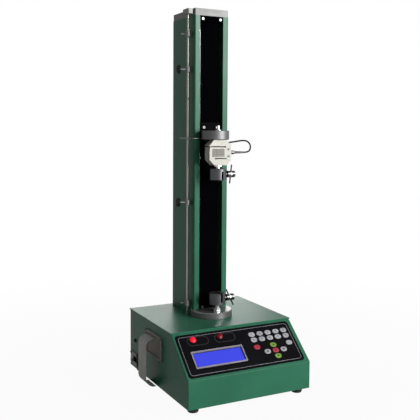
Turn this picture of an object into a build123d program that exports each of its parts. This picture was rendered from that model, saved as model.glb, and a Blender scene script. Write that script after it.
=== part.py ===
from build123d import *
import os
from math import asin, atan2, cos, radians, sin, sqrt, tan

# A single-column bench testing machine. All sizes are in millimetres.
# The drawing has x to the right from the machine's centre plane, y back from the front fascia
# and z up from the cabinet's bottom edge. The last function moves the finished pieces so that
# the origin is at the bottom centre of the whole machine's box.

# Fits
running_fit = 0.05
loose_fit = 0.3

# Cabinet
base_width = 360.0
base_depth = 395.0
cabinet_height = 166.0
slope_rise = 94.0
slope_run = 107.0
sheet = 2.0
bend_radius = 1.5
top_thick = 3.0
top_overhang = 1.5
top_flange = 15.0
pan_flange = 14.0
foot_radius = 14.5
foot_height = 14.0
foot_taper = 1.5
foot_inset = 25.0
vent_y = 200.0
vent_first_x = -105.0
vent_pitch = 15.0
vent_count = 7
vent_length = 60.0
vent_width = 4.0

# Control face, in x and in distance up the slope from the overlay's middle
overlay_width = 342.0
overlay_x = -3.0
overlay_low_gap = 7.0
overlay_high_gap = 11.4254
overlay_thick = 1.0
overlay_corner = 9.0
lcd_width = 149.0
lcd_height = 49.0
lcd_x = -72.5
lcd_drop = 14.5
lcd_rim = 3.5
lcd_lip = 2.0
lcd_proud = 2.2
lcd_recess = 4.0
lcd_depth = 9.0
key_length = 19.0
key_width = 13.0
key_proud = 2.0
key_flange = 1.2
key_lip = 0.9
key_travel = 0.8
key_crown = 0.7
key_first_x = 43.5
key_pitch_x = 25.0
key_top_lift = 34.8
key_pitch_v = 17.0
key_cluster_drop = 4.5
lamp_radius = 8.5
lamp_stem = 6.0
lamp_proud = 2.0
lamp_dome = 3.0
lamp_depth = 16.0
lamp_lift = 44.0
lamp_left_x = -127.3
lamp_right_x = -49.0
board_drop = 7.0
board_thick = 1.6
board_width = 320.0
board_inset = 6.0
switch_side = 6.0
post_radius = 3.0

# Panel printer in the left side
printer_y = 216.0
printer_drop = 60.5
printer_width = 112.0
printer_height = 67.0
printer_proud = 4.0
printer_corner = 4.0
printer_rim = 7.0
printer_recess = 2.5
printer_cutout = 4.0
printer_depth = 58.0
paper_width = 57.0
paper_thick = 0.4
paper_shift = 11.0
paper_slot_lift = 20.5
paper_bend = 20.5
paper_rise = 15.0
paper_low = -3.0
paper_curl = 25.0
paper_inside = 12.0
paper_tail = 9.0

# Power inlet, rocker and fuse holder in the left side
inlet_set = 32.0
inlet_z = 26.0
inlet_width = 50.0
inlet_height = 38.0
inlet_proud = 2.5
inlet_depth = 26.0
socket_width = 24.6
socket_height = 16.6
socket_depth = 16.0
socket_set = 11.5
blade_gap = 7.0
blade_set = 6.0
rocker_set = 13.5
rocker_width = 13.0
rocker_height = 20.0
rocker_tilt = 8.0
rocker_sink = 1.0
rocker_edge = 2.6
rocker_waist = 1.2
rocker_gap = 0.6
fuse_set = 7.0
fuse_z = 80.0
fuse_radius = 6.0
fuse_proud = 5.0
fuse_depth = 24.0

# Column
column_set = 15.0
column_width = 105.0
column_depth = 146.0
column_height = 836.0
column_wall = 3.0
column_corner = 4.0
slot_width = 72.0
cap_thick = 19.0
cap_inset = 1.0
rod_socket = 12.0
rod_seat = 4.0

# Drive
screw_set = 81.0
screw_radius = 10.0
screw_journal = 7.5
block_side_gap = 3.5
block_back = 30.0
block_height = 24.0
guide_radius = 8.0
guide_x = 32.0
pulley_drop = 45.0
pulley_face = 16.0
pulley_radius = 31.0
pulley_flange = 3.0
flange_thick = 1.5
hub_radius = 14.0
motor_pulley_radius = 15.5
motor_x = 95.0
motor_shaft = 7.0
motor_side = 86.0
motor_length = 78.0
motor_plate = 8.0
motor_gap = 4.0
motor_post = 5.0
motor_post_pitch = 69.6
belt_thick = 2.5
belt_width = 14.0

# Dust cover
strip_side_gap = 1.5
strip_thick = 1.5
strip_gap = 11.0
clamp_height = 17.0
clamp_fold = 12.0
low_clamp_height = 9.0

# Crosshead
plate_lift = 474.0
plate_height = 69.0
plate_side_gap = 3.0
plate_thick = 6.0
plate_set = 6.5
plate_edge = 0.8
web_thick = 4.0
web_inset = 0.5
carriage_side_gap = 2.0
carriage_depth = 62.0
nut_radius = 16.0
nut_flange = 22.0
nut_flange_thick = 8.0
load_set = 42.0
disc_radius = 38.0
disc_set = 16.5
disc_thick = 25.0
disc_edge = 1.5
stud_radius = 6.0

# Load cell
cell_lift = 21.0
cell_width = 68.0
cell_height = 70.0
cell_depth = 28.0
cell_chamfer = 15.0
cell_slot = 3.0
cell_slot_inset = 19.0
cell_slot_end = 14.0
cell_slot_round = 5.5
stud_grip = 16.0
gland_drop = 35.0
gland_flats = 11.0
gland_length = 16.0
relief_length = 29.0
relief_root = 3.6
cable_diameter = 4.5
cable_end_x = 26.0

# Grips
grip_radius = 23.0
grip_height = 32.0
grip_slot = 6.0
grip_slot_set = 0.5
grip_slot_depth = 24.0
grip_chamfer = 1.5
clamp_drop = 16.0
clamp_radius = 5.0
clamp_head_radius = 9.5
clamp_head_start = 5.0
clamp_head_length = 23.0
clamp_waist = 7.0
clamp_waist_length = 7.0
clamp_pad_radius = 6.5
clamp_pad_thick = 3.0
bar_radius = 2.0
bar_length = 54.0
upper_bar_turn = 11.5
lower_bar_turn = -50.0
cell_stud_gap = 9.0
lower_stud_length = 20.0
nut_flats = 18.0
nut_thick = 8.0
lock_nut_thick = 4.0
stud_washer_radius = 12.0
stud_washer_thick = 3.0

# Foot disc
foot_disc_radius = 58.0
foot_disc_set = 35.0
foot_disc_thick = 18.0
foot_disc_edge = 2.0

# Limit rod with its stops
limit_side_gap = 8.5
limit_set = 24.5
limit_radius = 3.0
limit_tail = 10.0
trip_radius = 8.0
trip_height = 8.0
trip_drop = 25.0
limit_travel = 4.0
collar_radius = 7.0
collar_height = 16.0
upper_stop_drop = 147.0
lower_stop_lift = 319.0
upper_guide_drop = 50.0
lower_guide_lift = 15.0
guide_arm = 9.0
knob_turn = 25.0
knob_stud = 2.0
knob_start = 20.0
knob_length = 12.0
knob_radius = 12.0
knob_root = 9.0
knob_taper = 2.5
set_screw_radius = 1.5
set_screw_head = 2.5
set_screw_head_length = 4.0
set_screw_reach = 19.0
bracket_set = 15.5
bracket_length = 36.0
bracket_thick = 14.0
bracket_reach = 17.0
striker_radius = 1.75
striker_lift = 3.0
striker_set = 30.0
striker_clear = 0.55
striker_reach = 38.5
striker_bend = 7.0
striker_grip = 7.0

# Limit switches
switch_length = 20.0
switch_height = 10.0
switch_clear = 1.0

# Places that follow from the sizes above
fascia_height = cabinet_height - slope_rise
slope_angle = atan2(slope_rise, slope_run)
shell_height = cabinet_height - top_thick
slope_end = (shell_height - fascia_height) / tan(slope_angle)
slope = Plane(
    origin=(0, 0, fascia_height),
    x_dir=(1, 0, 0),
    z_dir=(0, -sin(slope_angle), cos(slope_angle)),
).location
overlay_height = sqrt(slope_rise**2 + slope_run**2) - overlay_low_gap - overlay_high_gap
overlay_v = overlay_low_gap + overlay_height / 2
board_height = overlay_height - 2 * board_inset
lcd_v = overlay_v - lcd_drop
lamp_v = overlay_v + lamp_lift
left_side = -base_width / 2
printer_z = cabinet_height - printer_drop
paper_y = printer_y + paper_shift
paper_slot_z = printer_z + paper_slot_lift
inlet_y = base_depth - inlet_set
socket_y = inlet_y - socket_set
rocker_y = inlet_y + rocker_set
fuse_y = inlet_y - fuse_set
column_inner = column_width / 2 - column_wall
column_back = base_depth - column_set
column_front = column_back - column_depth
column_top = cabinet_height + column_height
block_width = 2 * (column_inner - block_side_gap)
screw_y = column_front + screw_set
pulley_z = shell_height - pulley_drop
load_y = column_front - load_set
foot_disc_y = load_y + foot_disc_set
disc_top = cabinet_height + foot_disc_thick
strip_y = column_front + column_wall + strip_gap
plate_y = column_front + plate_set
plate_z = cabinet_height + plate_lift
plate_width = slot_width - 2 * plate_side_gap
strip_width = plate_width - 2 * (web_inset + web_thick + strip_side_gap)
carriage_y = screw_y - carriage_depth / 2
disc_y = load_y + disc_set
cell_top = plate_z + cell_lift
cell_bottom = cell_top - cell_height
gland_z = cell_top - gland_drop
upper_grip_top = cell_bottom - cell_stud_gap
upper_clamp_z = upper_grip_top - clamp_drop
lower_grip_z = disc_top + lower_stud_length
lower_clamp_z = lower_grip_z + clamp_drop
slot_right = grip_slot - grip_slot_set
limit_x = -column_width / 2 - limit_side_gap
limit_y = column_front + limit_set
trip_z = shell_height - trip_drop
limit_foot_z = trip_z - limit_tail
upper_stop_z = column_top - upper_stop_drop
lower_stop_z = cabinet_height + lower_stop_lift
upper_guide_z = column_top - upper_guide_drop
lower_guide_z = disc_top + lower_guide_lift
bracket_front = limit_y - bracket_set
striker_y = load_y + striker_set
striker_z = cell_top + striker_lift
striker_back = limit_y + striker_reach
knob_direction = Vector(-cos(radians(knob_turn)), sin(radians(knob_turn)), 0)
relief_end = cell_width / 2 + gland_length + relief_length
key_rows = [overlay_v + key_top_lift - row * key_pitch_v for row in range(2)]
cluster_rows = [overlay_v - key_cluster_drop - row * key_pitch_v for row in range(3)]
key_columns = [key_first_x + column * key_pitch_x for column in range(5)]

# The names of the keys with their column and their distance up the slope
number_keys = {
    f"number_key_{row * 5 + column + 1}": (key_columns[column], key_rows[row])
    for row in range(2)
    for column in range(5)
}
function_keys = {
    "set_key": (key_columns[0], cluster_rows[0]),
    "up_key": (key_columns[2], cluster_rows[0]),
    "enter_key": (key_columns[4], cluster_rows[0]),
    "left_key": (key_columns[1], cluster_rows[1]),
    "stop_key": (key_columns[2], cluster_rows[1]),
    "right_key": (key_columns[3], cluster_rows[1]),
    "down_key": (key_columns[2], cluster_rows[2]),
}
keys = {**number_keys, **function_keys}

# The load cell's cable, from its strain relief round a free loop to the crosshead's front plate
cable_route = [
    (relief_end, load_y, gland_z),
    (94.5, load_y, gland_z),
    (105.2, load_y + 4.0, gland_z + 9.0),
    (106.4, load_y + 7.5, gland_z + 22.5),
    (97.5, load_y + 11.0, gland_z + 32.0),
    (83.0, load_y + 14.5, gland_z + 33.0),
    (66.0, load_y + 18.0, gland_z + 30.0),
    (49.5, load_y + 22.5, gland_z + 27.5),
    (34.5, load_y + 29.0, gland_z + 26.2),
    (cable_end_x, load_y + 37.5, gland_z + 25.4),
    (cable_end_x, plate_y, gland_z + 25.4),
]


# Helpers


def block(x, y, z):
    """A box between two values of x, two of y and two of z."""
    middle = Pos((x[0] + x[1]) / 2, (y[0] + y[1]) / 2, (z[0] + z[1]) / 2)
    return middle * Box(x[1] - x[0], y[1] - y[0], z[1] - z[0])


def upright(radius, x, y, low, high):
    """A cylinder along z."""
    return Pos(x, y, (low + high) / 2) * Cylinder(radius, high - low)


def across(radius, left, right, y, z):
    """A cylinder along x."""
    return Pos((left + right) / 2, y, z) * Rot(0, 90, 0) * Cylinder(radius, right - left)


def turned(outline):
    """A turned piece from its half outline of radius and height, about z."""
    return revolve(make_face(Plane.XZ * Polyline(*outline, close=True)), Axis.Z)


def on_slope(x, v, shape):
    """A shape drawn on the slope's outer face, with its z along the face's normal."""
    return slope * Pos(x, v, 0) * shape


def prism(outline, low, high):
    """A flat outline drawn between two heights above its own plane."""
    return Pos(0, 0, low) * extrude(outline, amount=high - low)


def section_profile(outline, width):
    """A solid from a side outline of y and z, centred on the machine's centre plane."""
    return extrude(Plane.YZ * make_face(Polyline(*outline, close=True)), amount=width / 2, both=True)


def key_outline(grow):
    return SlotOverall(key_length + 2 * grow, key_width + 2 * grow)


# Cabinet


def cabinet_outline(inset):
    """The cabinet's side outline, set in by the sheet's thickness for its inside."""
    rise = inset / tan(slope_angle / 2 + radians(45))
    top_rise = inset * tan(slope_angle / 2)
    return [
        (inset, -inset),
        (inset, fascia_height - rise),
        (slope_end + top_rise, shell_height - inset),
        (base_depth - inset, shell_height - inset),
        (base_depth - inset, -inset),
    ]


def slope_cutouts():
    """The holes through the sloping sheet for the screen, the lamps and the keys."""
    deep = -2 * sheet
    window = Rectangle(lcd_width - 2 * lcd_lip + 2 * loose_fit, lcd_height - 2 * lcd_lip + 2 * loose_fit)
    holes = on_slope(lcd_x, lcd_v, prism(window, deep, 2 * sheet))
    for x in (lamp_left_x, lamp_right_x):
        holes += on_slope(x, lamp_v, prism(Circle(lamp_stem + loose_fit), deep, 2 * sheet))
    for x, v in keys.values():
        holes += on_slope(x, v, prism(key_outline(loose_fit), deep, 2 * sheet))
    return holes


def printer_hole(grow):
    half_width = printer_width / 2 - printer_cutout + grow
    half_height = printer_height / 2 - printer_cutout + grow
    return (
        (printer_y - half_width, printer_y + half_width),
        (printer_z - half_height, printer_z + half_height),
    )


def inlet_hole(grow):
    half_width = inlet_width / 2 - 3 + grow
    half_height = inlet_height / 2 - 3 + grow
    return (
        (inlet_y - half_width, inlet_y + half_width),
        (inlet_z - half_height, inlet_z + half_height),
    )


def cabinet_shell():
    outer = section_profile(cabinet_outline(0), base_width)
    folds = [edge for edge in outer.edges() if edge.center().Z > 1]
    outer = fillet(folds, bend_radius)
    inner = section_profile(cabinet_outline(sheet), base_width - 2 * sheet)
    inner_x = base_width / 2 - sheet
    top_x = inner_x - top_flange
    top_opening = block(
        (-top_x, top_x),
        (slope_end + top_flange, base_depth - sheet - top_flange),
        (shell_height - 2 * sheet, shell_height + sheet),
    )
    through = (left_side - sheet, left_side + 2 * sheet)
    shell = outer - inner - top_opening - slope_cutouts()
    shell -= block(through, *printer_hole(loose_fit))
    shell -= block(through, *inlet_hole(loose_fit))
    shell -= across(fuse_radius - 1 + loose_fit, *through, fuse_y, fuse_z)
    return shell


def base_pan():
    """A tray that closes the cabinet's bottom, with its flanges turned up inside the shell."""
    half_x = base_width / 2 - sheet
    depth = (sheet, base_depth - sheet)
    tray = block((-half_x, half_x), depth, (0, pan_flange))
    tray -= block(
        (-half_x + sheet, half_x - sheet),
        (depth[0] + sheet, depth[1] - sheet),
        (sheet, pan_flange + sheet),
    )
    vent = Rot(0, 0, 90) * prism(SlotOverall(vent_length, vent_width), -sheet, 2 * sheet)
    tray -= [Pos(vent_first_x + step * vent_pitch, vent_y, 0) * vent for step in range(vent_count)]
    tray -= block(
        (-half_x - 1, -half_x + 2 * sheet),
        (inlet_y - inlet_width / 2, base_depth),
        (sheet, pan_flange + sheet),
    )
    return tray


def top_plate():
    front = slope_end - top_overhang
    half_x = base_width / 2 + top_overhang
    plate = block((-half_x, half_x), (front, base_depth + top_overhang), (shell_height, cabinet_height))
    plate = chamfer(plate.edges().group_by(Axis.Z)[-1], 0.6)
    plate -= upright(screw_journal + 2, 0, screw_y, shell_height - 1, cabinet_height + 1)
    plate -= upright(limit_radius + 0.5, limit_x, limit_y, shell_height - 1, cabinet_height + 1)
    return plate


def rubber_feet():
    foot = turned(
        [
            (0, 0),
            (foot_radius - foot_taper, 0),
            (foot_radius, 3),
            (foot_radius, foot_height),
            (0, foot_height),
        ]
    )
    foot -= upright(4, 0, 0, -1, 5)
    x = base_width / 2 - foot_inset
    places = [(side * x, y) for side in (-1, 1) for y in (foot_inset, base_depth - foot_inset)]
    return [Pos(px, py, -foot_height) * foot for px, py in places]


# Control face


def control_overlay():
    plate = RectangleRounded(overlay_width, overlay_height, overlay_corner)
    return on_slope(overlay_x, overlay_v, prism(plate, 0, overlay_thick)) - slope_cutouts()


def lcd_module():
    """A bezel whose collar reaches through the sheet, with the screen recessed in it."""
    window = Rectangle(lcd_width - 2 * lcd_rim, lcd_height - 2 * lcd_rim)
    lip = RectangleRounded(lcd_width, lcd_height, 2)
    collar = Rectangle(lcd_width - 2 * lcd_lip, lcd_height - 2 * lcd_lip)
    face = overlay_thick + lcd_proud
    bezel = prism(lip, overlay_thick, face)
    bezel = chamfer(bezel.edges().group_by(Axis.Z)[-1], 0.5)
    bezel += prism(collar, -lcd_depth, overlay_thick)
    bezel -= prism(window, -lcd_depth - 1, face + 1)
    screen = prism(window, -lcd_depth, face - lcd_recess)
    return [on_slope(lcd_x, lcd_v, bezel), on_slope(lcd_x, lcd_v, screen)]


def indicator_lamps():
    """Two lenses, each with a rim, a low dome and a stem through the sheet."""
    rim = overlay_thick + lamp_proud
    ball = (lamp_radius**2 + lamp_dome**2) / (2 * lamp_dome)
    lens = Pos(0, 0, rim + lamp_dome - ball) * Sphere(ball)
    lens &= upright(lamp_radius, 0, 0, overlay_thick, rim + lamp_dome)
    lamp = lens + upright(lamp_stem, 0, 0, -lamp_depth, overlay_thick)
    return [on_slope(x, lamp_v, lamp) for x in (lamp_left_x, lamp_right_x)]


def key(x, v):
    """An oval key with a crowned top, kept in by a flange behind the sheet."""
    top = overlay_thick + key_proud
    cap = prism(key_outline(0), -sheet, top)
    cap = fillet(cap.edges().group_by(Axis.Z)[-1], key_crown)
    cap += prism(key_outline(key_lip), -sheet - key_flange, -sheet)
    return on_slope(x, v, cap)


def control_board():
    """The circuit board behind the slope, with a switch under every key and its posts."""
    top = -sheet - board_drop
    board = prism(Rectangle(board_width, board_height), top - board_thick, top)
    screen_gap = Rectangle(lcd_width + 2, lcd_height + 2)
    board -= Pos(lcd_x, lcd_v - overlay_v, 0) * prism(screen_gap, top - board_thick - 1, top + 1)
    for x in (lamp_left_x, lamp_right_x):
        board -= Pos(x, lamp_v - overlay_v, 0) * prism(Circle(lamp_stem + 1), top - board_thick - 1, top + 1)
    key_low = -sheet - key_flange - key_travel
    for x, v in keys.values():
        button = prism(Rectangle(switch_side, switch_side), top, key_low - loose_fit)
        board += Pos(x, v - overlay_v, 0) * button
    for x in (-board_width / 2 + 6, board_width / 2 - 6):
        for v in (-board_height / 2 + 6, board_height / 2 - 6):
            board += Pos(x, v, 0) * prism(Circle(post_radius), top, -sheet)
    return on_slope(0, overlay_v, board)


# Panel printer and its paper


def panel_printer():
    side = Plane(origin=(left_side, printer_y, printer_z), x_dir=(0, -1, 0), z_dir=(-1, 0, 0)).location
    frame = prism(RectangleRounded(printer_width, printer_height, printer_corner), 0, printer_proud)
    frame = chamfer(frame.edges().group_by(Axis.Z)[-1], 1)
    inner_width = printer_width - 2 * printer_rim
    inner_height = printer_height - 2 * printer_rim
    door = RectangleRounded(inner_width, inner_height, 2)
    frame -= prism(door, printer_proud - printer_recess, printer_proud + 1)
    case = Rectangle(printer_width - 2 * printer_cutout, printer_height - 2 * printer_cutout)
    frame += prism(case, -printer_depth, 0)
    for step in (-1, 1):
        groove = Rectangle(1.6, inner_height - 6)
        floor = printer_proud - printer_recess
        for reach in (8, 14):
            place = Pos(step * (inner_width / 2 - reach), 0, 0)
            frame -= place * prism(groove, floor - 1, floor + 1)
    slot = Rectangle(paper_width + 2, paper_thick + 2 * loose_fit)
    slot_x = printer_y - paper_y
    slot_place = Pos(slot_x, paper_slot_z - printer_z, 0) * Rot(-paper_rise, 0, 0)
    frame -= slot_place * prism(slot, -paper_inside - 2, 4 * printer_proud)
    return side * frame


def printer_paper():
    """A strip that leaves the slot upwards, bends over, hangs and curls in below the edge."""
    rise = radians(paper_rise)
    heading = (-cos(rise), sin(rise))
    start = (left_side - paper_inside * heading[0], paper_slot_z - paper_inside * heading[1])
    edge = (left_side - printer_proud, paper_slot_z + printer_proud * tan(rise))
    run = Line(start, edge)
    over = JernArc(start=edge, tangent=heading, radius=paper_bend, arc_size=90 + paper_rise)
    hang_end = ((over @ 1).X, paper_low + paper_curl)
    hang = Line(over @ 1, hang_end)
    curl = JernArc(start=hang_end, tangent=(0, -1), radius=paper_curl, arc_size=90 + paper_tail)
    path = Plane.XZ * (run + over + hang + curl)
    across_paper = Plane(origin=path @ 0, x_dir=(0, 1, 0), z_dir=path % 0)
    strip = sweep(across_paper * Rectangle(paper_width, paper_thick), path)
    return Pos(0, paper_y, 0) * strip


# Power inlet, fuse holder and rocker


def rocker_well():
    return (
        (rocker_y - rocker_width / 2 - loose_fit, rocker_y + rocker_width / 2 + loose_fit),
        (inlet_z - rocker_height / 2 - rocker_gap, inlet_z + rocker_height / 2 + rocker_gap),
    )


def power_inlet():
    outside = left_side - inlet_proud
    half_width = inlet_width / 2
    half_height = inlet_height / 2
    plate = block(
        (outside, left_side),
        (inlet_y - half_width, inlet_y + half_width),
        (inlet_z - half_height, inlet_z + half_height),
    )
    plate = chamfer(plate.faces().sort_by(Axis.X)[0].edges(), 1)
    inlet = plate + block((left_side, left_side + inlet_depth), *inlet_hole(0))
    cavity = (outside - 1, outside + socket_depth)
    socket_y_range = (socket_y - socket_width / 2, socket_y + socket_width / 2)
    socket_z_range = (inlet_z - socket_height / 2, inlet_z + socket_height / 2)
    inlet -= block(cavity, socket_y_range, socket_z_range)
    blade_end = (outside + blade_set, outside + socket_depth + 1)
    for step in (-1, 0, 1):
        lift = 2 if step == 0 else -2
        middle_y = socket_y + step * blade_gap
        middle_z = inlet_z + lift
        inlet += block(blade_end, (middle_y - 1, middle_y + 1), (middle_z - 2, middle_z + 2))
    inlet -= block((outside - 1, outside + rocker_sink + rocker_height / 2), *rocker_well())
    fuse = across(fuse_radius + 1, left_side - 1.5, left_side, fuse_y, fuse_z)
    fuse += across(fuse_radius - 1, left_side - fuse_proud, left_side + fuse_depth, fuse_y, fuse_z)
    fuse -= block(
        (left_side - fuse_proud - 1, left_side - fuse_proud + 1),
        (fuse_y - fuse_radius, fuse_y + fuse_radius),
        (fuse_z - 0.7, fuse_z + 0.7),
    )
    return [inlet, fuse]


def power_rocker():
    """A rocker that turns about y in its well, shown tipped to one side."""
    half = rocker_height / 2 - rocker_gap
    outside = left_side - inlet_proud
    face = [(half, 0), (half, rocker_edge), (0, rocker_waist), (-half, rocker_edge), (-half, 0)]
    outline = Polyline(*face) + ThreePointArc((-half, 0), (0, -half), (half, 0))
    body = extrude(make_face(outline), amount=rocker_width / 2, both=True)
    side = Plane(origin=(outside + rocker_sink, rocker_y, inlet_z), x_dir=(0, 0, -1), z_dir=(0, 1, 0))
    return side.location * Rot(0, 0, rocker_tilt) * body


# Column


def column_housing():
    """A folded C section, notched at its front foot over the disc."""
    body = block(
        (-column_width / 2, column_width / 2),
        (column_front, column_back),
        (cabinet_height, column_top),
    )
    body = fillet(body.edges().filter_by(Axis.Z), column_corner)
    body -= block(
        (-column_inner, column_inner),
        (column_front + column_wall, column_back - column_wall),
        (cabinet_height - 1, column_top + 1),
    )
    body -= block(
        (-slot_width / 2, slot_width / 2),
        (column_front - 1, column_front + column_wall + 1),
        (cabinet_height - 1, column_top + 1),
    )
    disc_back = foot_disc_y + foot_disc_radius
    body -= block(
        (-column_inner, column_inner),
        (column_front - 1, disc_back + loose_fit),
        (cabinet_height - 1, disc_top),
    )
    side_reach = sqrt(max(foot_disc_radius**2 - column_inner**2, 0))
    body -= block(
        (-column_width, column_width),
        (foot_disc_y - foot_disc_radius, foot_disc_y + side_reach + loose_fit),
        (cabinet_height - 1, disc_top),
    )
    return body


def column_cap():
    half_x = column_width / 2 - cap_inset
    cap = block(
        (-half_x, half_x),
        (column_front + cap_inset, column_back - cap_inset),
        (column_top, column_top + cap_thick),
    )
    cap = fillet(cap.edges().filter_by(Axis.Z), column_corner - cap_inset)
    cap = chamfer(cap.edges().group_by(Axis.Z)[-1], 0.8)
    cap -= upright(screw_journal + running_fit, 0, screw_y, column_top - 1, column_top + rod_socket)
    for x in (-guide_x, guide_x):
        cap -= upright(guide_radius, x, screw_y, column_top - 1, column_top + rod_socket)
    return cap


def foot_disc():
    disc = Pos(0, 0, cabinet_height) * turned(
        [
            (0, 0),
            (foot_disc_radius - 0.8, 0),
            (foot_disc_radius, 0.8),
            (foot_disc_radius, foot_disc_thick - foot_disc_edge),
            (foot_disc_radius - foot_disc_edge, foot_disc_thick),
            (0, foot_disc_thick),
        ]
    )
    disc = Pos(0, foot_disc_y, 0) * disc
    return disc - upright(stud_radius, 0, load_y, cabinet_height + 4, disc_top + 1)


def dust_cover():
    """A flat strip behind the lips, with a clamp bar and a fold at its top and a bar at its foot."""
    strip = block(
        (-strip_width / 2, strip_width / 2),
        (strip_y, strip_y + strip_thick),
        (disc_top, column_top),
    )
    bar_y = (column_front + column_wall, strip_y)
    bar_x = (-column_inner, column_inner)
    top_bar = block(bar_x, bar_y, (column_top - clamp_height, column_top))
    low_bar = block(bar_x, bar_y, (disc_top, disc_top + low_clamp_height))
    fold_z = column_top - clamp_height - clamp_fold
    fold = block((-strip_width / 2, strip_width / 2), (strip_y - 3.5, strip_y), (fold_z, fold_z + clamp_fold))
    fold = fillet(fold.edges().filter_by(Axis.X).group_by(Axis.Y)[0], 2.5)
    return [strip, top_bar, low_bar, fold]


# Drive


def bearing_block():
    """A block behind the foot disc that carries the screw's lower journal and the guide rods."""
    low = cabinet_height
    high = low + block_height
    front = foot_disc_y + foot_disc_radius + loose_fit
    body = block((-block_width / 2, block_width / 2), (front, screw_y + block_back), (low, high))
    body = chamfer(body.edges().group_by(Axis.Z)[-1], 2)
    body -= upright(screw_journal + running_fit, 0, screw_y, low - 1, high + 1)
    for x in (-guide_x, guide_x):
        body -= upright(guide_radius, x, screw_y, low + rod_seat, high + 1)
    return body


def guide_rods():
    low = cabinet_height + rod_seat
    high = column_top + rod_socket
    rod = chamfer(upright(guide_radius, 0, 0, low, high).edges(), 1)
    return [Pos(x, screw_y, 0) * rod for x in (-guide_x, guide_x)]


def lead_screw():
    """The screw, its journals and the toothed pulley below the top plate, as they turn together."""
    shoulder = cabinet_height + block_height + loose_fit
    top_shoulder = column_top - loose_fit
    low = pulley_z - 4
    screw = turned(
        [
            (0, low),
            (screw_journal, low),
            (screw_journal, shoulder),
            (screw_radius, shoulder),
            (screw_radius, top_shoulder),
            (screw_journal, top_shoulder),
            (screw_journal, column_top + rod_socket - loose_fit),
            (0, column_top + rod_socket - loose_fit),
        ]
    )
    wheel = upright(pulley_radius, 0, 0, pulley_z, pulley_z + pulley_face)
    wheel += upright(hub_radius, 0, 0, pulley_z + pulley_face, pulley_z + pulley_face + 8)
    for low_edge in (pulley_z - flange_thick, pulley_z + pulley_face):
        wheel += upright(pulley_radius + pulley_flange, 0, 0, low_edge, low_edge + flange_thick)
    return Pos(0, screw_y, 0) * (screw + wheel)


def motor_pulley():
    """The small pulley on the motor's shaft."""
    low = pulley_z - motor_gap - motor_plate - 20
    wheel = upright(motor_pulley_radius, 0, 0, pulley_z, pulley_z + pulley_face)
    for low_edge in (pulley_z - flange_thick, pulley_z + pulley_face):
        wheel += upright(motor_pulley_radius + pulley_flange, 0, 0, low_edge, low_edge + flange_thick)
    shaft = upright(motor_shaft, 0, 0, low, pulley_z + pulley_face + 4)
    return Pos(motor_x, screw_y, 0) * (wheel + shaft)


def belt_outline(grow):
    """The region inside a belt round both pulleys, grown outwards."""
    big = pulley_radius + grow
    small = motor_pulley_radius + grow
    lean = asin((big - small) / motor_x)
    sides = [(sin(lean), cos(lean)), (sin(lean), -cos(lean))]
    corners = [
        (big * sides[0][0], big * sides[0][1]),
        (motor_x + small * sides[0][0], small * sides[0][1]),
        (motor_x + small * sides[1][0], small * sides[1][1]),
        (big * sides[1][0], big * sides[1][1]),
    ]
    run = make_face(Polyline(*corners, close=True))
    return Circle(big) + run + Pos(motor_x, 0) * Circle(small)


def drive_belt():
    low = pulley_z + (pulley_face - belt_width) / 2
    loop = prism(belt_outline(belt_thick + loose_fit), low, low + belt_width)
    loop -= prism(belt_outline(loose_fit), low - 1, low + belt_width + 1)
    return Pos(0, screw_y, 0) * loop


def drive_motor():
    """A square geared motor that hangs from the top plate on four posts round its pulley."""
    top = pulley_z - flange_thick - motor_gap
    half = motor_side / 2
    body = block((-half, half), (-half, half), (top - motor_plate, top))
    round_body = upright(half - 3, 0, 0, top - motor_length, top - motor_plate)
    body = fillet(body.edges().filter_by(Axis.Z), 8) + round_body
    for x in (-motor_post_pitch / 2, motor_post_pitch / 2):
        for y in (-motor_post_pitch / 2, motor_post_pitch / 2):
            body += upright(motor_post, x, y, top, shell_height)
    shaft_low = pulley_z - motor_gap - motor_plate - 20 - loose_fit
    body -= upright(motor_shaft + running_fit, 0, 0, shaft_low, top + 1)
    return Pos(motor_x, screw_y, 0) * body


# Crosshead


def carriage():
    """The front plate, two webs that pass beside the dust strip and the block on the guide rods."""
    high = plate_z + plate_height
    z = (plate_z, high)
    half = plate_width / 2
    plate = block((-half, half), (plate_y, plate_y + plate_thick), z)
    plate = fillet(plate.edges().filter_by(Axis.Y), 4)
    plate = chamfer(plate.faces().sort_by(Axis.Y)[0].edges(), plate_edge)
    body = block(
        (-column_inner + carriage_side_gap, column_inner - carriage_side_gap),
        (carriage_y, carriage_y + carriage_depth),
        z,
    )
    for side in (-1, 1):
        web_x = sorted([side * (half - web_inset), side * (half - web_inset - web_thick)])
        body += block(web_x, (plate_y + 1, carriage_y + 1), (plate_z + 4, high - 4))
    body = plate + body
    body -= upright(nut_radius, 0, screw_y, plate_z - 1, high + 1)
    for x in (-guide_x, guide_x):
        body -= upright(guide_radius + running_fit, x, screw_y, plate_z - 1, high + 1)
    body -= block((-14, 14), (carriage_y + carriage_depth - 9, carriage_y + carriage_depth + 1), z)
    return body


def drive_nut():
    nut = turned(
        [
            (screw_radius + running_fit, 0),
            (nut_flange, 0),
            (nut_flange, -nut_flange_thick),
            (screw_radius + running_fit, -nut_flange_thick),
        ]
    )
    sleeve = upright(nut_radius, 0, 0, -1, 42) - upright(screw_radius + running_fit, 0, 0, -2, 43)
    return Pos(0, screw_y, plate_z) * (nut + sleeve)


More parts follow.
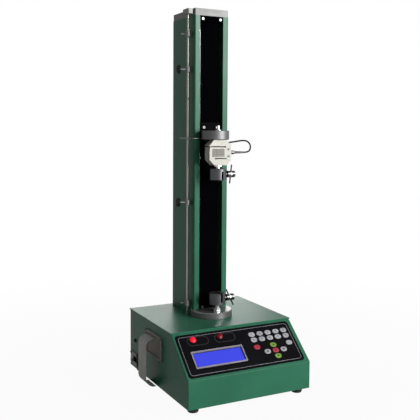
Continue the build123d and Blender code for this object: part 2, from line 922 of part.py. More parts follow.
def crosshead_disc():
    """A turned disc with a flat at its back, where it seats on the front plate."""
    disc = Pos(0, disc_y, cell_top) * turned(
        [
            (0, 0),
            (disc_radius - disc_edge, 0),
            (disc_radius, disc_edge),
            (disc_radius, disc_thick - disc_edge),
            (disc_radius - disc_edge, disc_thick),
            (0, disc_thick),
        ]
    )
    disc -= block(
        (-disc_radius, disc_radius),
        (plate_y, disc_y + disc_radius + 1),
        (cell_top - 1, cell_top + disc_thick + 1),
    )
    disc -= upright(stud_radius, 0, load_y, cell_top - 1, cell_top + disc_thick + 1)
    disc -= across(striker_radius, striker_left_edge(), -0.4 * disc_radius, striker_y, striker_z)
    return disc


def striker_left_edge():
    return -sqrt(disc_radius**2 - (disc_y - striker_y) ** 2) - 1


def striker():
    """A bent rod that reaches from the disc past the limit rod, and meets a collar when it moves."""
    x = limit_x - limit_radius - striker_clear - striker_radius
    start = (striker_left_edge() + 1 + striker_grip, striker_y, striker_z)
    path = FilletPolyline(start, (x, striker_y, striker_z), (x, striker_back, striker_z), radius=striker_bend)
    return sweep(Plane(origin=start, z_dir=(-1, 0, 0)) * Circle(striker_radius), path)


def cell_studs():
    """The upper stud goes down through the disc into the cell, the lower one on into the grip."""
    head_z = cell_top + disc_thick
    upper = upright(stud_radius, 0, 0, cell_top - stud_grip, head_z)
    upper += upright(stud_radius - 2, 0, 0, head_z, head_z + 14)
    washer = turned([(0, head_z), (stud_radius + 3, head_z), (stud_radius + 3, head_z + 2), (0, head_z + 2)])
    lower = upright(stud_radius, 0, 0, upper_grip_top, cell_bottom + stud_grip)
    lock = prism(RegularPolygon(nut_flats / 2, 6, major_radius=False), cell_bottom - lock_nut_thick, cell_bottom)
    return [Pos(0, load_y, 0) * (upper + washer), Pos(0, load_y, 0) * (lower + lock)]


# Load cell


def cell_slots():
    """The two slots of the S, cut from opposite sides, each with a round end."""
    half = cell_width / 2
    mid = cell_top - cell_height / 2
    upper_z = mid + cell_height / 2 - cell_slot_inset
    lower_z = mid - cell_height / 2 + cell_slot_inset
    depth = (load_y - cell_depth, load_y + cell_depth)
    cut = block((-half - 1, cell_slot_end), depth, (upper_z - cell_slot / 2, upper_z + cell_slot / 2))
    cut += block((-cell_slot_end, half + 1), depth, (lower_z - cell_slot / 2, lower_z + cell_slot / 2))
    for x, z in ((cell_slot_end, upper_z), (-cell_slot_end, lower_z)):
        cut += Pos(x, load_y, z) * Rot(90, 0, 0) * Cylinder(cell_slot_round / 2, 2 * cell_depth)
    return cut


def load_cell():
    """An S-shaped cell with clipped corners and the gland that its cable leaves by."""
    mid = cell_top - cell_height / 2
    body = Pos(0, load_y, mid) * Box(cell_width, cell_depth, cell_height)
    body = chamfer(body.edges().filter_by(Axis.Y), cell_chamfer)
    body = chamfer(body.faces().sort_by(Axis.Y)[0].edges(), 0.8)
    body = chamfer(body.faces().sort_by(Axis.Y)[-1].edges(), 0.8)
    body -= cell_slots()
    body -= upright(stud_radius, 0, load_y, cell_top - stud_grip, cell_top + 1)
    body -= upright(stud_radius, 0, load_y, cell_bottom - 1, cell_bottom + stud_grip)
    side = Plane(origin=(cell_width / 2, load_y, gland_z), x_dir=(0, 1, 0), z_dir=(1, 0, 0)).location
    hexagon = prism(RegularPolygon(gland_flats / 2, 6, major_radius=False), 0, 5)
    neck = turned(
        [
            (0, 5),
            (gland_flats / 2 - 1, 5),
            (gland_flats / 2 - 1, 8),
            (gland_flats / 2, 8),
            (gland_flats / 2, gland_length - 2),
            (relief_root, gland_length),
            (cable_diameter / 2 + 0.4, gland_length + relief_length),
            (0, gland_length + relief_length),
        ]
    )
    return [body, side * (hexagon + neck)]


# Cable


def run_turns(route):
    """The turn at each inner point of a route, in degrees, and the shorter of its two runs."""
    points = [Vector(*p) for p in route]
    found = []
    for before, here, after in zip(points, points[1:], points[2:]):
        turn = (here - before).get_angle(after - here)
        found.append((turn, min((here - before).length, (after - here).length)))
    return found


def load_cell_cable():
    turns = run_turns(cable_route)
    radii = [0.45 * shorter / tan(radians(turn) / 2) for turn, shorter in turns]
    print("cable radii", [round(r, 1) for r in radii])
    path = FilletPolyline(*cable_route, radius=radii)
    section_plane = Plane(origin=cable_route[0], z_dir=path % 0)
    tube = sweep(section_plane * Circle(cable_diameter / 2), path)
    expected = Circle(cable_diameter / 2).area * path.length
    print("cable length", round(path.length, 1), "volume share", round(tube.volume / expected, 4))
    return tube


# Grips


def grip_body(low, slot_up):
    """A round grip with a slot whose fixed face lies by the axis, and a hole for its clamp screw."""
    slot_sign = 1 if slot_up else -1
    high = low + grip_height
    stud_face = low if slot_up else high
    body = turned(
        [
            (0, 0),
            (grip_radius - grip_chamfer, 0),
            (grip_radius, grip_chamfer),
            (grip_radius, grip_height - grip_chamfer),
            (grip_radius - grip_chamfer, grip_height),
            (0, grip_height),
        ]
    )
    body = Pos(0, load_y, low) * body
    mouth = high if slot_up else low
    slot_z = sorted([mouth + slot_sign, mouth - slot_sign * grip_slot_depth])
    slot_y = (load_y - grip_radius - 1, load_y + grip_radius + 1)
    body -= block((-grip_slot_set, slot_right), slot_y, slot_z)
    clamp_z = lower_clamp_z if slot_up else upper_clamp_z
    body -= across(clamp_radius + running_fit, 0, grip_radius + 1, load_y, clamp_z)
    recess_end = slot_right + clamp_pad_thick
    body -= across(clamp_pad_radius + running_fit, 0, recess_end, load_y, clamp_z)
    stud_z = sorted([stud_face - slot_sign, stud_face + slot_sign * 5])
    return body - upright(stud_radius, 0, load_y, *stud_z)


def clamp_pad(z):
    return across(clamp_pad_radius, slot_right, slot_right + clamp_pad_thick, load_y, z)


def clamp_screw(z, turn):
    """A screw with a waisted head and the bar through it that turns it by hand."""
    start = slot_right + clamp_pad_thick
    head = grip_radius + clamp_head_start
    end = head + clamp_head_length
    waist = (head + end - clamp_waist_length) / 2
    outline = [
        (0, start),
        (clamp_radius, start),
        (clamp_radius, head),
        (clamp_head_radius, head),
        (clamp_head_radius, waist),
        (clamp_waist, waist),
        (clamp_waist, waist + clamp_waist_length),
        (clamp_head_radius, waist + clamp_waist_length),
        (clamp_head_radius, end - 1),
        (clamp_head_radius - 1, end),
        (0, end),
    ]
    middle = (head + end) / 2
    screw = turned(outline)
    hole = Pos(0, 0, middle) * Rot(90, 0, 0) * Cylinder(bar_radius, 3 * clamp_head_radius)
    bar = Pos(0, 0, middle) * Rot(90, 0, 0) * Cylinder(bar_radius, bar_length)
    bar = chamfer(bar.edges(), 0.6)
    place = Plane(origin=(0, load_y, z), x_dir=(0, 1, 0), z_dir=(1, 0, 0)).location * Rot(0, 0, turn)
    return [place * (screw - hole), place * bar]


def lower_grip_stud():
    """The stud between the foot disc and the lower grip, with a washer, a nut and a lock nut."""
    stud = upright(stud_radius, 0, load_y, cabinet_height + 4, lower_grip_z + 5)
    nut_low = disc_top + stud_washer_thick
    washer = upright(stud_washer_radius, 0, 0, disc_top, nut_low)
    washer = chamfer(washer.edges().group_by(Axis.Z)[-1], 0.8)
    hexagon = RegularPolygon(nut_flats / 2, 6, major_radius=False)
    nut = prism(hexagon, nut_low, nut_low + nut_thick)
    lock_nut = prism(hexagon, lower_grip_z - lock_nut_thick, lower_grip_z)
    return stud + Pos(0, load_y, 0) * (washer + nut + lock_nut)


# Limit rod, its guides and its stops


def around_rod(shape):
    """A shape drawn about the limit rod's axis, with its x along the knobs' direction."""
    plane = Plane(origin=(limit_x, limit_y, 0), x_dir=knob_direction, z_dir=(0, 0, 1))
    return plane.location * shape


def collar(z, bore):
    ring = upright(collar_radius, 0, 0, z - collar_height / 2, z + collar_height / 2)
    ring = chamfer(ring.edges(), 0.8)
    return ring - upright(bore, 0, 0, z - collar_height, z + collar_height)


def set_screw(z):
    """A screw with a small round head, which points away from the limit rod."""
    start = limit_radius + 1.5
    head = set_screw_reach - set_screw_head_length
    outline = [
        (0, start),
        (set_screw_radius, start),
        (set_screw_radius, head),
        (set_screw_head, head),
        (set_screw_head, set_screw_reach - 0.6),
        (set_screw_head - 0.6, set_screw_reach),
        (0, set_screw_reach),
    ]
    return around_rod(Pos(0, 0, z) * Rot(0, 90, 0) * turned(outline))


def rod_guides():
    """Two guides on the column's left side with their set screws, and the bracket on the cap."""
    column_side = -column_width / 2
    pieces = []
    for z in (lower_guide_z, upper_guide_z):
        guide = around_rod(collar(z, limit_radius + running_fit))
        arm_z = (z - guide_arm / 2, z + guide_arm / 2)
        arm = block((limit_x, column_side), (limit_y - guide_arm / 2, limit_y + guide_arm / 2), arm_z)
        guide += arm - upright(collar_radius - 1, limit_x, limit_y, *arm_z)
        screw = set_screw(z)
        pieces += [guide - screw, screw]
    cap_side = -column_width / 2 + cap_inset
    high = column_top + cap_thick - 1
    bracket = block(
        (cap_side - bracket_reach, cap_side),
        (bracket_front, bracket_front + bracket_length),
        (high - bracket_thick, high),
    )
    bracket = chamfer(bracket.edges().filter_by(Axis.Z).group_by(Axis.X)[0], 2)
    bracket -= upright(limit_radius + running_fit, limit_x, limit_y, high - bracket_thick - 1, high + 1)
    return pieces + [bracket]


def limit_rod():
    """The rod and the ring pressed on it, which trips the switches below the top plate."""
    high = column_top + cap_thick - 5
    rod = chamfer(upright(limit_radius, 0, 0, limit_foot_z, high).edges(), 0.8)
    ring = chamfer(upright(trip_radius, 0, 0, trip_z, trip_z + trip_height).edges(), 1.5)
    ring -= upright(limit_radius, 0, 0, trip_z - 1, trip_z + trip_height + 1)
    place = Pos(limit_x, limit_y, 0)
    return [place * rod, place * ring]


def stop_collar(z):
    ring = collar(z, limit_radius + running_fit)
    return around_rod(ring - across(knob_stud + running_fit, 0, collar_radius + 1, 0, z))


def stop_knob(z):
    """A fluted thumb knob with a tapered back, and the steel stud in it that pinches the rod."""
    start = limit_radius + loose_fit
    end = knob_start + knob_length
    stud_end = knob_start + knob_length / 2
    outline = [
        (0, knob_start),
        (knob_root, knob_start),
        (knob_radius, knob_start + knob_taper),
        (knob_radius, end - 1.5),
        (knob_radius - 1.5, end),
        (0, end),
    ]
    stud = upright(knob_stud, 0, 0, start, stud_end)
    knob = turned(outline) - stud
    flute = Pos(knob_radius + 1.4, 0, end) * Cylinder(2.4, 1.3 * knob_length)
    for step in range(8):
        knob -= Rot(0, 0, 45 * step) * flute
    place = Pos(0, 0, z) * Rot(0, 90, 0)
    return [around_rod(place * knob), around_rod(place * stud)]


def limit_switches():
    """Two small switches on a hanger below the top plate, one above and one below the trip ring."""
    hanger_y = limit_y + trip_radius + 4
    hanger_x = (limit_x - switch_length / 2, limit_x + switch_length / 2)
    pieces = []
    rest = limit_travel + switch_clear
    above = trip_z + trip_height + rest
    below = trip_z - rest
    for low, high in ((above, above + switch_height), (below - switch_height, below)):
        case = block(hanger_x, (limit_y + limit_radius + 1, hanger_y), (low, high))
        pieces.append(case)
    plate = block(hanger_x, (hanger_y, hanger_y + 2), (below - switch_height, shell_height))
    return pieces + [plate]


# All the pieces by name


def pieces():
    found = {
        "cabinet_shell": cabinet_shell(),
        "base_pan": base_pan(),
        "top_plate": top_plate(),
        "rubber_feet": rubber_feet(),
        "control_overlay": control_overlay(),
        "lcd_module": lcd_module(),
        "indicator_lamps": indicator_lamps(),
        "control_board": control_board(),
        "panel_printer": panel_printer(),
        "printer_paper": printer_paper(),
        "power_inlet": power_inlet(),
        "power_rocker": power_rocker(),
        "column_housing": column_housing(),
        "column_cap": column_cap(),
        "foot_disc": foot_disc(),
        "dust_cover": dust_cover(),
        "bearing_block": bearing_block(),
        "guide_rods": guide_rods(),
        "lead_screw": lead_screw(),
        "motor_pulley": motor_pulley(),
        "drive_belt": drive_belt(),
        "drive_motor": drive_motor(),
        "carriage": carriage(),
        "drive_nut": drive_nut(),
        "crosshead_disc": crosshead_disc(),
        "striker": striker(),
        "cell_studs": cell_studs(),
        "load_cell": load_cell(),
        "load_cell_cable": load_cell_cable(),
        "upper_grip_body": grip_body(upper_grip_top - grip_height, False),
        "upper_clamp_pad": clamp_pad(upper_clamp_z),
        "upper_clamp_screw": clamp_screw(upper_clamp_z, upper_bar_turn),
        "lower_grip_stud": lower_grip_stud(),
        "lower_grip_body": grip_body(lower_grip_z, True),
        "lower_clamp_pad": clamp_pad(lower_clamp_z),
        "lower_clamp_screw": clamp_screw(lower_clamp_z, lower_bar_turn),
        "rod_guides": rod_guides(),
        "limit_rod": limit_rod(),
        "upper_stop_collar": stop_collar(upper_stop_z),
        "upper_stop_knob": stop_knob(upper_stop_z),
        "lower_stop_collar": stop_collar(lower_stop_z),
        "lower_stop_knob": stop_knob(lower_stop_z),
        "limit_switches": limit_switches(),
    }
    for name, (x, v) in keys.items():
        found[name] = key(x, v)
    return found


def write(found):
    """Moves every piece so that the origin is at the bottom centre of the whole, and saves it."""
    os.makedirs("parts", exist_ok=True)
    paper_left = left_side - printer_proud - paper_bend * (1 + sin(radians(paper_rise)))
    plate_right = base_width / 2 + top_overhang
    shift = Pos(-(paper_left + plate_right) / 2, -(base_depth + top_overhang) / 2, foot_height)
    print("origin shift", shift.position)
    for name, shape in found.items():
        solids = [shift * one for one in shape] if isinstance(shape, list) else [shift * shape]
        export_step(Compound(children=solids) if len(solids) > 1 else solids[0], f"parts/{name}.step")


write(pieces())
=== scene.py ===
import math

import bpy
from bpy.props import BoolProperty, FloatProperty, FloatVectorProperty, PointerProperty
from bpy.types import Operator, Panel, PropertyGroup
from mathutils import Matrix, Vector


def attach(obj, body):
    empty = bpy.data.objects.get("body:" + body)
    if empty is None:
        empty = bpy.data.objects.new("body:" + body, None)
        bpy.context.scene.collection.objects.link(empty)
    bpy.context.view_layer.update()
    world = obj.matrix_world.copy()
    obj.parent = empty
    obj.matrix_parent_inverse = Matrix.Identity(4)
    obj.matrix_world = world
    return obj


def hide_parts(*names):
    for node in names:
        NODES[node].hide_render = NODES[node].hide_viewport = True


bl_info = {
    "name": "Bench Testing Machine",
    "version": (1, 0, 0),
    "blender": (4, 5, 0),
    "location": "View3D > Sidebar > Tester",
    "description": "Gives a packed single-column testing machine its finishes, marks and small parts",
    "category": "Object",
}

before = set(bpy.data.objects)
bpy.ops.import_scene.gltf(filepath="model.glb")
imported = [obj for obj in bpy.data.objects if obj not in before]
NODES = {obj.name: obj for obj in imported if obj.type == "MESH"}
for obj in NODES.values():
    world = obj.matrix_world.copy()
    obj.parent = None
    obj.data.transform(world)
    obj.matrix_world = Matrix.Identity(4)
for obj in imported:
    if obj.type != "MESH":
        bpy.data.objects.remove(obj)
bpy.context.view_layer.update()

# The drawing's origin is on the centre plane, at the bottom edge of the front fascia.
MM = 0.001
DRAWING_ORIGIN = Vector((14.1529, -198.25, 14.0)) * MM
SLOPE_RISE, SLOPE_RUN = 94.0, 107.0
SLOPE_ANGLE = math.atan2(SLOPE_RISE, SLOPE_RUN)
FASCIA_HEIGHT = 72.0
OVERLAY_FACE = 1.0
KEY_FACE = 3.0


def at(x, y, z):
    """A point of the drawing, in millimetres, as a point of the scene."""
    return DRAWING_ORIGIN + Vector((x, y, z)) * MM


def on_slope(x, v, lift=OVERLAY_FACE):
    """A place on the control face: x across, v up the slope and lift along its normal."""
    foot = Matrix.Translation(at(0, 0, FASCIA_HEIGHT)) @ Matrix.Rotation(SLOPE_ANGLE, 4, "X")
    return foot @ Matrix.Translation(Vector((x, v, lift)) * MM)


def linear(red, green, blue):
    """A screen colour from 0 to 255 as the light it stands for."""
    return tuple(
        c / 12.92 if c <= 0.04045 else ((c + 0.055) / 1.055) ** 2.4
        for c in (red / 255, green / 255, blue / 255)
    )


def tint(colour, share):
    """A colour made lighter or darker, with full alpha."""
    return tuple(min(1.0, c * share) for c in colour[:3]) + (1.0,)


# Shader maths


class Amount:
    """A number or vector that varies over a surface. Arithmetic on it adds nodes to its finish."""

    def __init__(self, finish, socket):
        self.finish = finish
        self.socket = socket

    def __add__(self, other):
        return self.finish.maths("ADD", self, other)

    def __sub__(self, other):
        return self.finish.maths("SUBTRACT", self, other)

    def __rsub__(self, other):
        return self.finish.maths("SUBTRACT", other, self)

    def __mul__(self, other):
        return self.finish.maths("MULTIPLY", self, other)

    def __truediv__(self, other):
        return self.finish.maths("DIVIDE", self, other)

    def __gt__(self, other):
        return self.finish.maths("GREATER_THAN", self, other)

    def __lt__(self, other):
        return self.finish.maths("LESS_THAN", self, other)

    __radd__ = __add__
    __rmul__ = __mul__


class Finish:
    """A material with the nodes that make it."""

    def __init__(self, name):
        self.material = bpy.data.materials.new(name)
        self.material.use_nodes = True
        self.tree = self.material.node_tree
        self.tree.nodes.clear()

    def node(self, kind, settings=None, inputs=None, out=0):
        """Adds a node, sets it and its inputs, and gives one of its outputs."""
        made = self.tree.nodes.new(kind)
        for name, value in (settings or {}).items():
            setattr(made, name, value)
        for key, value in (inputs or {}).items():
            if isinstance(value, Amount):
                self.tree.links.new(value.socket, made.inputs[key])
            else:
                made.inputs[key].default_value = value
        return Amount(self, made.outputs[out])

    def maths(self, operation, *values):
        return self.node("ShaderNodeMath", {"operation": operation}, dict(enumerate(values)))

    def place(self, centre=(0, 0, 0), turn=(0, 0, 0), stretch=(1, 1, 1)):
        """Object coordinates about a centre, turned and stretched."""
        here = self.node("ShaderNodeTexCoord", out="Object")
        moved = self.node("ShaderNodeVectorMath", {"operation": "SUBTRACT"}, {0: here, 1: tuple(centre)})
        return self.node("ShaderNodeMapping", {}, {"Vector": moved, "Rotation": turn, "Scale": stretch})

    def axes(self, vector):
        """The x, y and z of a vector."""
        first = self.node("ShaderNodeSeparateXYZ", {}, {0: vector})
        return [Amount(self, output) for output in first.socket.node.outputs]

    def noise(self, vector, scale, detail=2.0, roughness=0.5):
        return self.node(
            "ShaderNodeTexNoise",
            {},
            {"Vector": vector, "Scale": scale, "Detail": detail, "Roughness": roughness},
        )

    def spread(self, value, low, high, start=0.0, end=1.0):
        """Moves a value from one range to another, and keeps it inside."""
        return self.node("ShaderNodeMapRange", {}, {0: value, 1: start, 2: end, 3: low, 4: high})

    def blend(self, share, first, second):
        """A colour between two colours."""
        return self.node("ShaderNodeMix", {"data_type": "RGBA"}, {0: share, 6: first, 7: second}, out=2)

    def bump(self, height, strength, distance):
        return self.node(
            "ShaderNodeBump", {}, {"Height": height, "Strength": strength, "Distance": distance}
        )

    def surface(self, **inputs):
        """The main shader. Underscores in a name stand for spaces."""
        named = {name.replace("_", " "): value for name, value in inputs.items()}
        return self.node("ShaderNodeBsdfPrincipled", {}, named)

    def mix(self, share, first, second):
        """One shader laid over another where the share is 1."""
        return self.node("ShaderNodeMixShader", {}, {0: share, 1: first, 2: second})

    def done(self, shader):
        output = self.tree.nodes.new("ShaderNodeOutputMaterial")
        self.tree.links.new(shader.socket, output.inputs["Surface"])
        return self.material


# Finishes


def enamel_surface(made, colour, gloss, specular, peel):
    """Sprayed enamel: fine orange peel, faint clouding and a gloss that varies a little."""
    here = made.place()
    cloud = made.noise(here, 9.0, 3.0)
    drops = made.noise(here, 420.0, 1.0)
    paint = made.blend(made.spread(cloud, 0.0, 1.0, 0.3, 0.7), tint(colour, 0.93), tint(colour, 1.07))
    return made.surface(
        Base_Color=paint,
        Roughness=made.spread(cloud, gloss - 0.03, gloss + 0.03, 0.3, 0.7),
        Specular_IOR_Level=specular,
        Normal=made.bump(drops, peel, 0.0004),
    )


def enamel(name, colour, gloss=0.38, specular=0.06, peel=0.02):
    made = Finish(name)
    return made.done(enamel_surface(made, colour, gloss, specular, peel))


def moulded_surface(made, colour, roughness, specular, grain=1400.0, depth=0.2):
    """Moulded plastic or rubber with a fine grain and a few handled patches."""
    here = made.place()
    cells = made.noise(here, grain, 2.0)
    wear = made.noise(here, 35.0, 3.0)
    shade = made.blend(made.spread(wear, 0.0, 1.0, 0.35, 0.65), tint(colour, 0.88), tint(colour, 1.1))
    return made.surface(
        Base_Color=shade,
        Roughness=made.spread(wear, roughness - 0.06, roughness + 0.06, 0.3, 0.7),
        Specular_IOR_Level=specular,
        Normal=made.bump(cells, depth, 0.0002),
    )


def moulded(name, colour, roughness=0.45, specular=0.3):
    made = Finish(name)
    return made.done(moulded_surface(made, colour, roughness, specular))


def brushed(name, colour, along, roughness=0.35, metallic=1.0, depth=0.15):
    """Metal brushed along one axis: x, y or z."""
    made = Finish(name)
    stretch = tuple(12.0 if axis == along else 900.0 for axis in "xyz")
    lines = made.noise(made.place(stretch=stretch), 1.0, 3.0, 0.6)
    smudge = made.noise(made.place(), 25.0)
    metal = made.blend(made.spread(lines, 0.0, 1.0, 0.3, 0.7), tint(colour, 0.86), tint(colour, 1.1))
    return made.done(
        made.surface(
            Base_Color=metal,
            Metallic=metallic,
            Roughness=made.spread(lines + smudge * 0.4, roughness - 0.08, roughness + 0.1, 0.4, 1.0),
            Normal=made.bump(lines, depth, 0.00015),
        )
    )


def turned_surface(made, colour, centre, roughness, metallic, pitch=2600.0):
    """Metal turned about an upright axis: fine rings on its faces and round its side."""
    x, y, z = made.axes(made.place(centre))
    radius = made.maths("SQRT", x * x + y * y)
    travel = made.node("ShaderNodeCombineXYZ", {}, {0: radius * pitch, 1: z * pitch})
    rings = made.noise(travel, 1.0, 2.0, 0.6)
    broad = made.noise(travel, 0.13, 1.0)
    share = made.spread(rings + broad * 0.6, 0.0, 1.0, 0.5, 1.1)
    return made.surface(
        Base_Color=made.blend(share, tint(colour, 0.82), tint(colour, 1.12)),
        Metallic=metallic,
        Roughness=made.spread(rings, roughness - 0.07, roughness + 0.07, 0.3, 0.7),
        Normal=made.bump(rings, 0.25, 0.0001),
    )


def turned(name, colour, centre, roughness=0.3, metallic=1.0):
    made = Finish(name)
    return made.done(turned_surface(made, colour, centre, roughness, metallic))


def plated_surface(made, colour, roughness=0.09):
    """Bright plate with faint smears."""
    here = made.place()
    smear = made.noise(here, 60.0, 4.0, 0.6)
    ripple = made.noise(here, 160.0, 1.0)
    plate = made.blend(made.spread(smear, 0.0, 1.0, 0.35, 0.65), tint(colour, 0.93), tint(colour, 1.0))
    return made.surface(
        Base_Color=plate,
        Metallic=1.0,
        Roughness=made.spread(smear, roughness - 0.03, roughness + 0.07, 0.35, 0.7),
        Normal=made.bump(ripple, 0.04, 0.0003),
    )


def plated(name, colour, roughness=0.09):
    made = Finish(name)
    return made.done(plated_surface(made, colour, roughness))


def overlay_film(name, colour):
    """Black printed film with a satin face."""
    made = Finish(name)
    here = made.place()
    grain = made.noise(here, 2200.0, 1.0)
    smear = made.noise(here, 18.0, 3.0)
    return made.done(
        made.surface(
            Base_Color=made.blend(smear, tint(colour, 0.8), tint(colour, 1.2)),
            Roughness=made.spread(smear, 0.34, 0.5, 0.3, 0.7),
            Specular_IOR_Level=0.03,
            Normal=made.bump(grain, 0.08, 0.0001),
        )
    )


def lenses(name, lit, dark, middle):
    """Two red lenses: the left one lit and the right one dark."""
    made = Finish(name)
    x = made.axes(made.place(middle))[0]
    cells = made.noise(made.place(), 700.0, 1.0)
    heart = made.spread(cells, 0.0, 1.0, 0.3, 0.7)
    rough = made.spread(cells, 0.32, 0.42)
    off = made.surface(
        Base_Color=made.blend(heart, tint(dark, 0.8), tint(dark, 1.1)),
        Roughness=rough,
        Specular_IOR_Level=0.1,
    )
    on = made.surface(
        Base_Color=made.blend(heart, tint(lit, 0.8), tint(lit, 1.0)),
        Emission_Color=made.blend(heart, tint(lit, 0.85), tint(lit, 1.0)),
        Emission_Strength=0.6,
        Roughness=rough,
        Specular_IOR_Level=0.1,
    )
    return made.done(made.mix(x < 0.0, off, on))


def lit_screen(name, blue, middle, width, height):
    """A blue backlit panel, darker at its edge, with a faint grid of cells."""
    made = Finish(name)
    x, y, z = made.axes(made.place(middle, (-SLOPE_ANGLE, 0.0, 0.0)))
    across = made.maths("ABSOLUTE", x) / (width / 2)
    up = made.maths("ABSOLUTE", y) / (height / 2)
    edge = made.spread(made.maths("MAXIMUM", across, up), 1.0, 0.8, 0.9, 1.0)
    cell = 0.0011
    gaps = made.maths("MINIMUM", made.maths("PINGPONG", x, cell / 2), made.maths("PINGPONG", y, cell / 2))
    grid = made.spread(gaps, 0.93, 1.0, 0.0, cell / 8)
    return made.done(
        made.surface(
            Base_Color=tint(blue, 0.3),
            Emission_Color=made.blend(edge * grid, tint(blue, 0.3), tint(blue, 1.0)),
            Emission_Strength=0.9,
            Roughness=made.spread(grid, 0.2, 0.3, 0.9, 1.0),
            Specular_IOR_Level=0.2,
        )
    )


def thermal_paper(name, colour):
    """Thin paper with faint lengthwise lines from the roll."""
    made = Finish(name)
    lines = made.noise(made.place(stretch=(3.0, 260.0, 3.0)), 1.0, 2.0, 0.7)
    fibre = made.noise(made.place(), 900.0, 3.0)
    sheet = made.blend(made.spread(lines, 0.0, 1.0, 0.35, 0.65), tint(colour, 0.8), tint(colour, 1.0))
    return made.done(
        made.surface(
            Base_Color=sheet,
            Roughness=made.spread(fibre, 0.65, 0.85),
            Specular_IOR_Level=0.2,
            Normal=made.bump(lines + fibre * 0.3, 0.3, 0.0003),
        )
    )


def circuit_board(name, colour):
    """A green board with lighter tracks."""
    made = Finish(name)
    cells = made.node(
        "ShaderNodeTexVoronoi", {"distance": "MANHATTAN"}, {"Vector": made.place(), "Scale": 160.0}
    )
    tracks = made.spread(cells, 1.0, 0.0, 0.25, 0.4)
    return made.done(
        made.surface(
            Base_Color=made.blend(tracks, tint(colour, 1.0), tint(colour, 2.0)),
            Roughness=made.spread(tracks, 0.5, 0.35),
            Normal=made.bump(tracks, 0.2, 0.0001),
        )
    )


def threaded_screw(name, colour, axis, lead, rim):
    """A ground screw with its thread, and the machined pulley outside its rim."""
    made = Finish(name)
    x, y, z = made.axes(made.place(axis))
    radius = made.maths("SQRT", x * x + y * y)
    along = z / lead - made.maths("ARCTAN2", y, x) / math.tau
    crest = made.maths("PINGPONG", along, 0.5)
    # The thread is darker in its roots than on its crests.
    darker_at_thread_roots = made.blend(made.spread(crest, 0.0, 1.0, 0.05, 0.25), tint(colour, 0.45), tint(colour, 1.0))
    steel = made.surface(
        Base_Color=darker_at_thread_roots,
        Metallic=1.0,
        Roughness=made.spread(crest, 0.45, 0.22, 0.05, 0.3),
        Normal=made.bump(made.spread(crest, 0.0, 1.0, 0.1, 0.3), 1.0, 0.001),
    )
    wheel = turned_surface(made, colour, axis, 0.35, 1.0)
    return made.done(made.mix(radius > rim, steel, wheel))


def cell_finish(name, cream, metal, grey, face_x, gland_x):
    """Cream enamel on the cell, bright plate on its gland and grey on the strain relief."""
    made = Finish(name)
    x = made.axes(made.place())[0]
    body = enamel_surface(made, cream, 0.42, 0.1, 0.05)
    gland = plated_surface(made, metal, 0.35)
    relief = moulded_surface(made, grey, 0.5, 0.3)
    return made.done(made.mix(x > gland_x, made.mix(x > face_x, body, gland), relief))


def clamp_finish(name, black, metal, axis, half, waist):
    """Black oxide, worn bright round the waist of the head."""
    made = Finish(name)
    x, y, z = made.axes(made.place(axis))
    radius = made.maths("SQRT", y * y + z * z)
    band = (x > -half) * (x < half) * (radius < waist)
    dark = moulded_surface(made, black, 0.38, 0.5, 900.0, 0.1)
    bright = plated_surface(made, metal, 0.3)
    return made.done(made.mix(band, dark, bright))


def knob_finish(name, black, metal, rod_axis, reach):
    """Black moulding, and bright plate on the stud between the rod and the knob."""
    made = Finish(name)
    x, y, z = made.axes(made.place(rod_axis))
    away = made.maths("SQRT", x * x + y * y)
    return made.done(
        made.mix(away < reach, moulded_surface(made, black, 0.45, 0.15), plated_surface(made, metal, 0.25))
    )


def inlet_finish(name, black, metal, low, high):
    """Black moulding with plated pins inside the socket."""
    made = Finish(name)
    x, y, z = made.axes(made.place())
    inside = (x > low.x) * (y > low.y) * (y < high.y) * (z > low.z) * (z < high.z) * (x < high.x)
    return made.done(
        made.mix(inside, moulded_surface(made, black, 0.45, 0.3), plated_surface(made, metal, 0.2))
    )


def ruled_plate(name, metal, ink, centre, row):
    """A bare metal plate with the ruled lines of an unfilled form."""
    made = Finish(name)
    x, y, z = made.axes(made.place(centre))
    lines = made.noise(made.place(stretch=(30.0, 900.0, 900.0)), 1.0, 3.0)
    rule = made.maths("PINGPONG", z, row / 2) < row * 0.07
    column = made.maths("ABSOLUTE", x + 0.006) < 0.0003
    printed = made.maths("MAXIMUM", rule, column)
    return made.done(
        made.surface(
            Base_Color=made.blend(printed, tint(metal, 1.0), tint(ink, 1.0)),
            Specular_IOR_Level=0.05,
            Roughness=made.spread(lines, 0.36, 0.5, 0.3, 0.7),
            Normal=made.bump(lines, 0.1, 0.0001),
        )
    )


def print_ink_and_painted_shadow(name, colour):
    """Screen-printed ink with a slightly broken cover, also used for the painted shadow round the screen.
    """
    made = Finish(name)
    cover = made.noise(made.place(), 1800.0, 2.0)
    ink = made.blend(made.spread(cover, 0.0, 1.0, 0.3, 0.6), tint(colour, 0.8), tint(colour, 1.0))
    return made.done(
        made.surface(
            Base_Color=ink,
            Roughness=made.spread(cover, 0.5, 0.6),
            Specular_IOR_Level=0.2,
        )
    )


# Pieces


def piece(name, mesh, body, material=None):
    """An object at the origin that rides on a body and takes its finish from a slot."""
    made = bpy.data.objects.new(name, mesh)
    bpy.context.scene.collection.objects.link(made)
    if material is not None:
        mesh.materials.clear()
        mesh.materials.append(material)
    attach(made, body)
    return made


def rounded(width, height, radius, steps=8):
    """The corners of a rounded rectangle about the origin, anticlockwise."""
    points = []
    for corner, (side, top) in enumerate(((1, 1), (-1, 1), (-1, -1), (1, -1))):
        middle = Vector((side * (width / 2 - radius), top * (height / 2 - radius)))
        for step in range(steps + 1):
            turn = math.radians(90 * corner + 90 * step / steps)
            points.append(middle + Vector((math.cos(turn), math.sin(turn))) * radius)
    return points


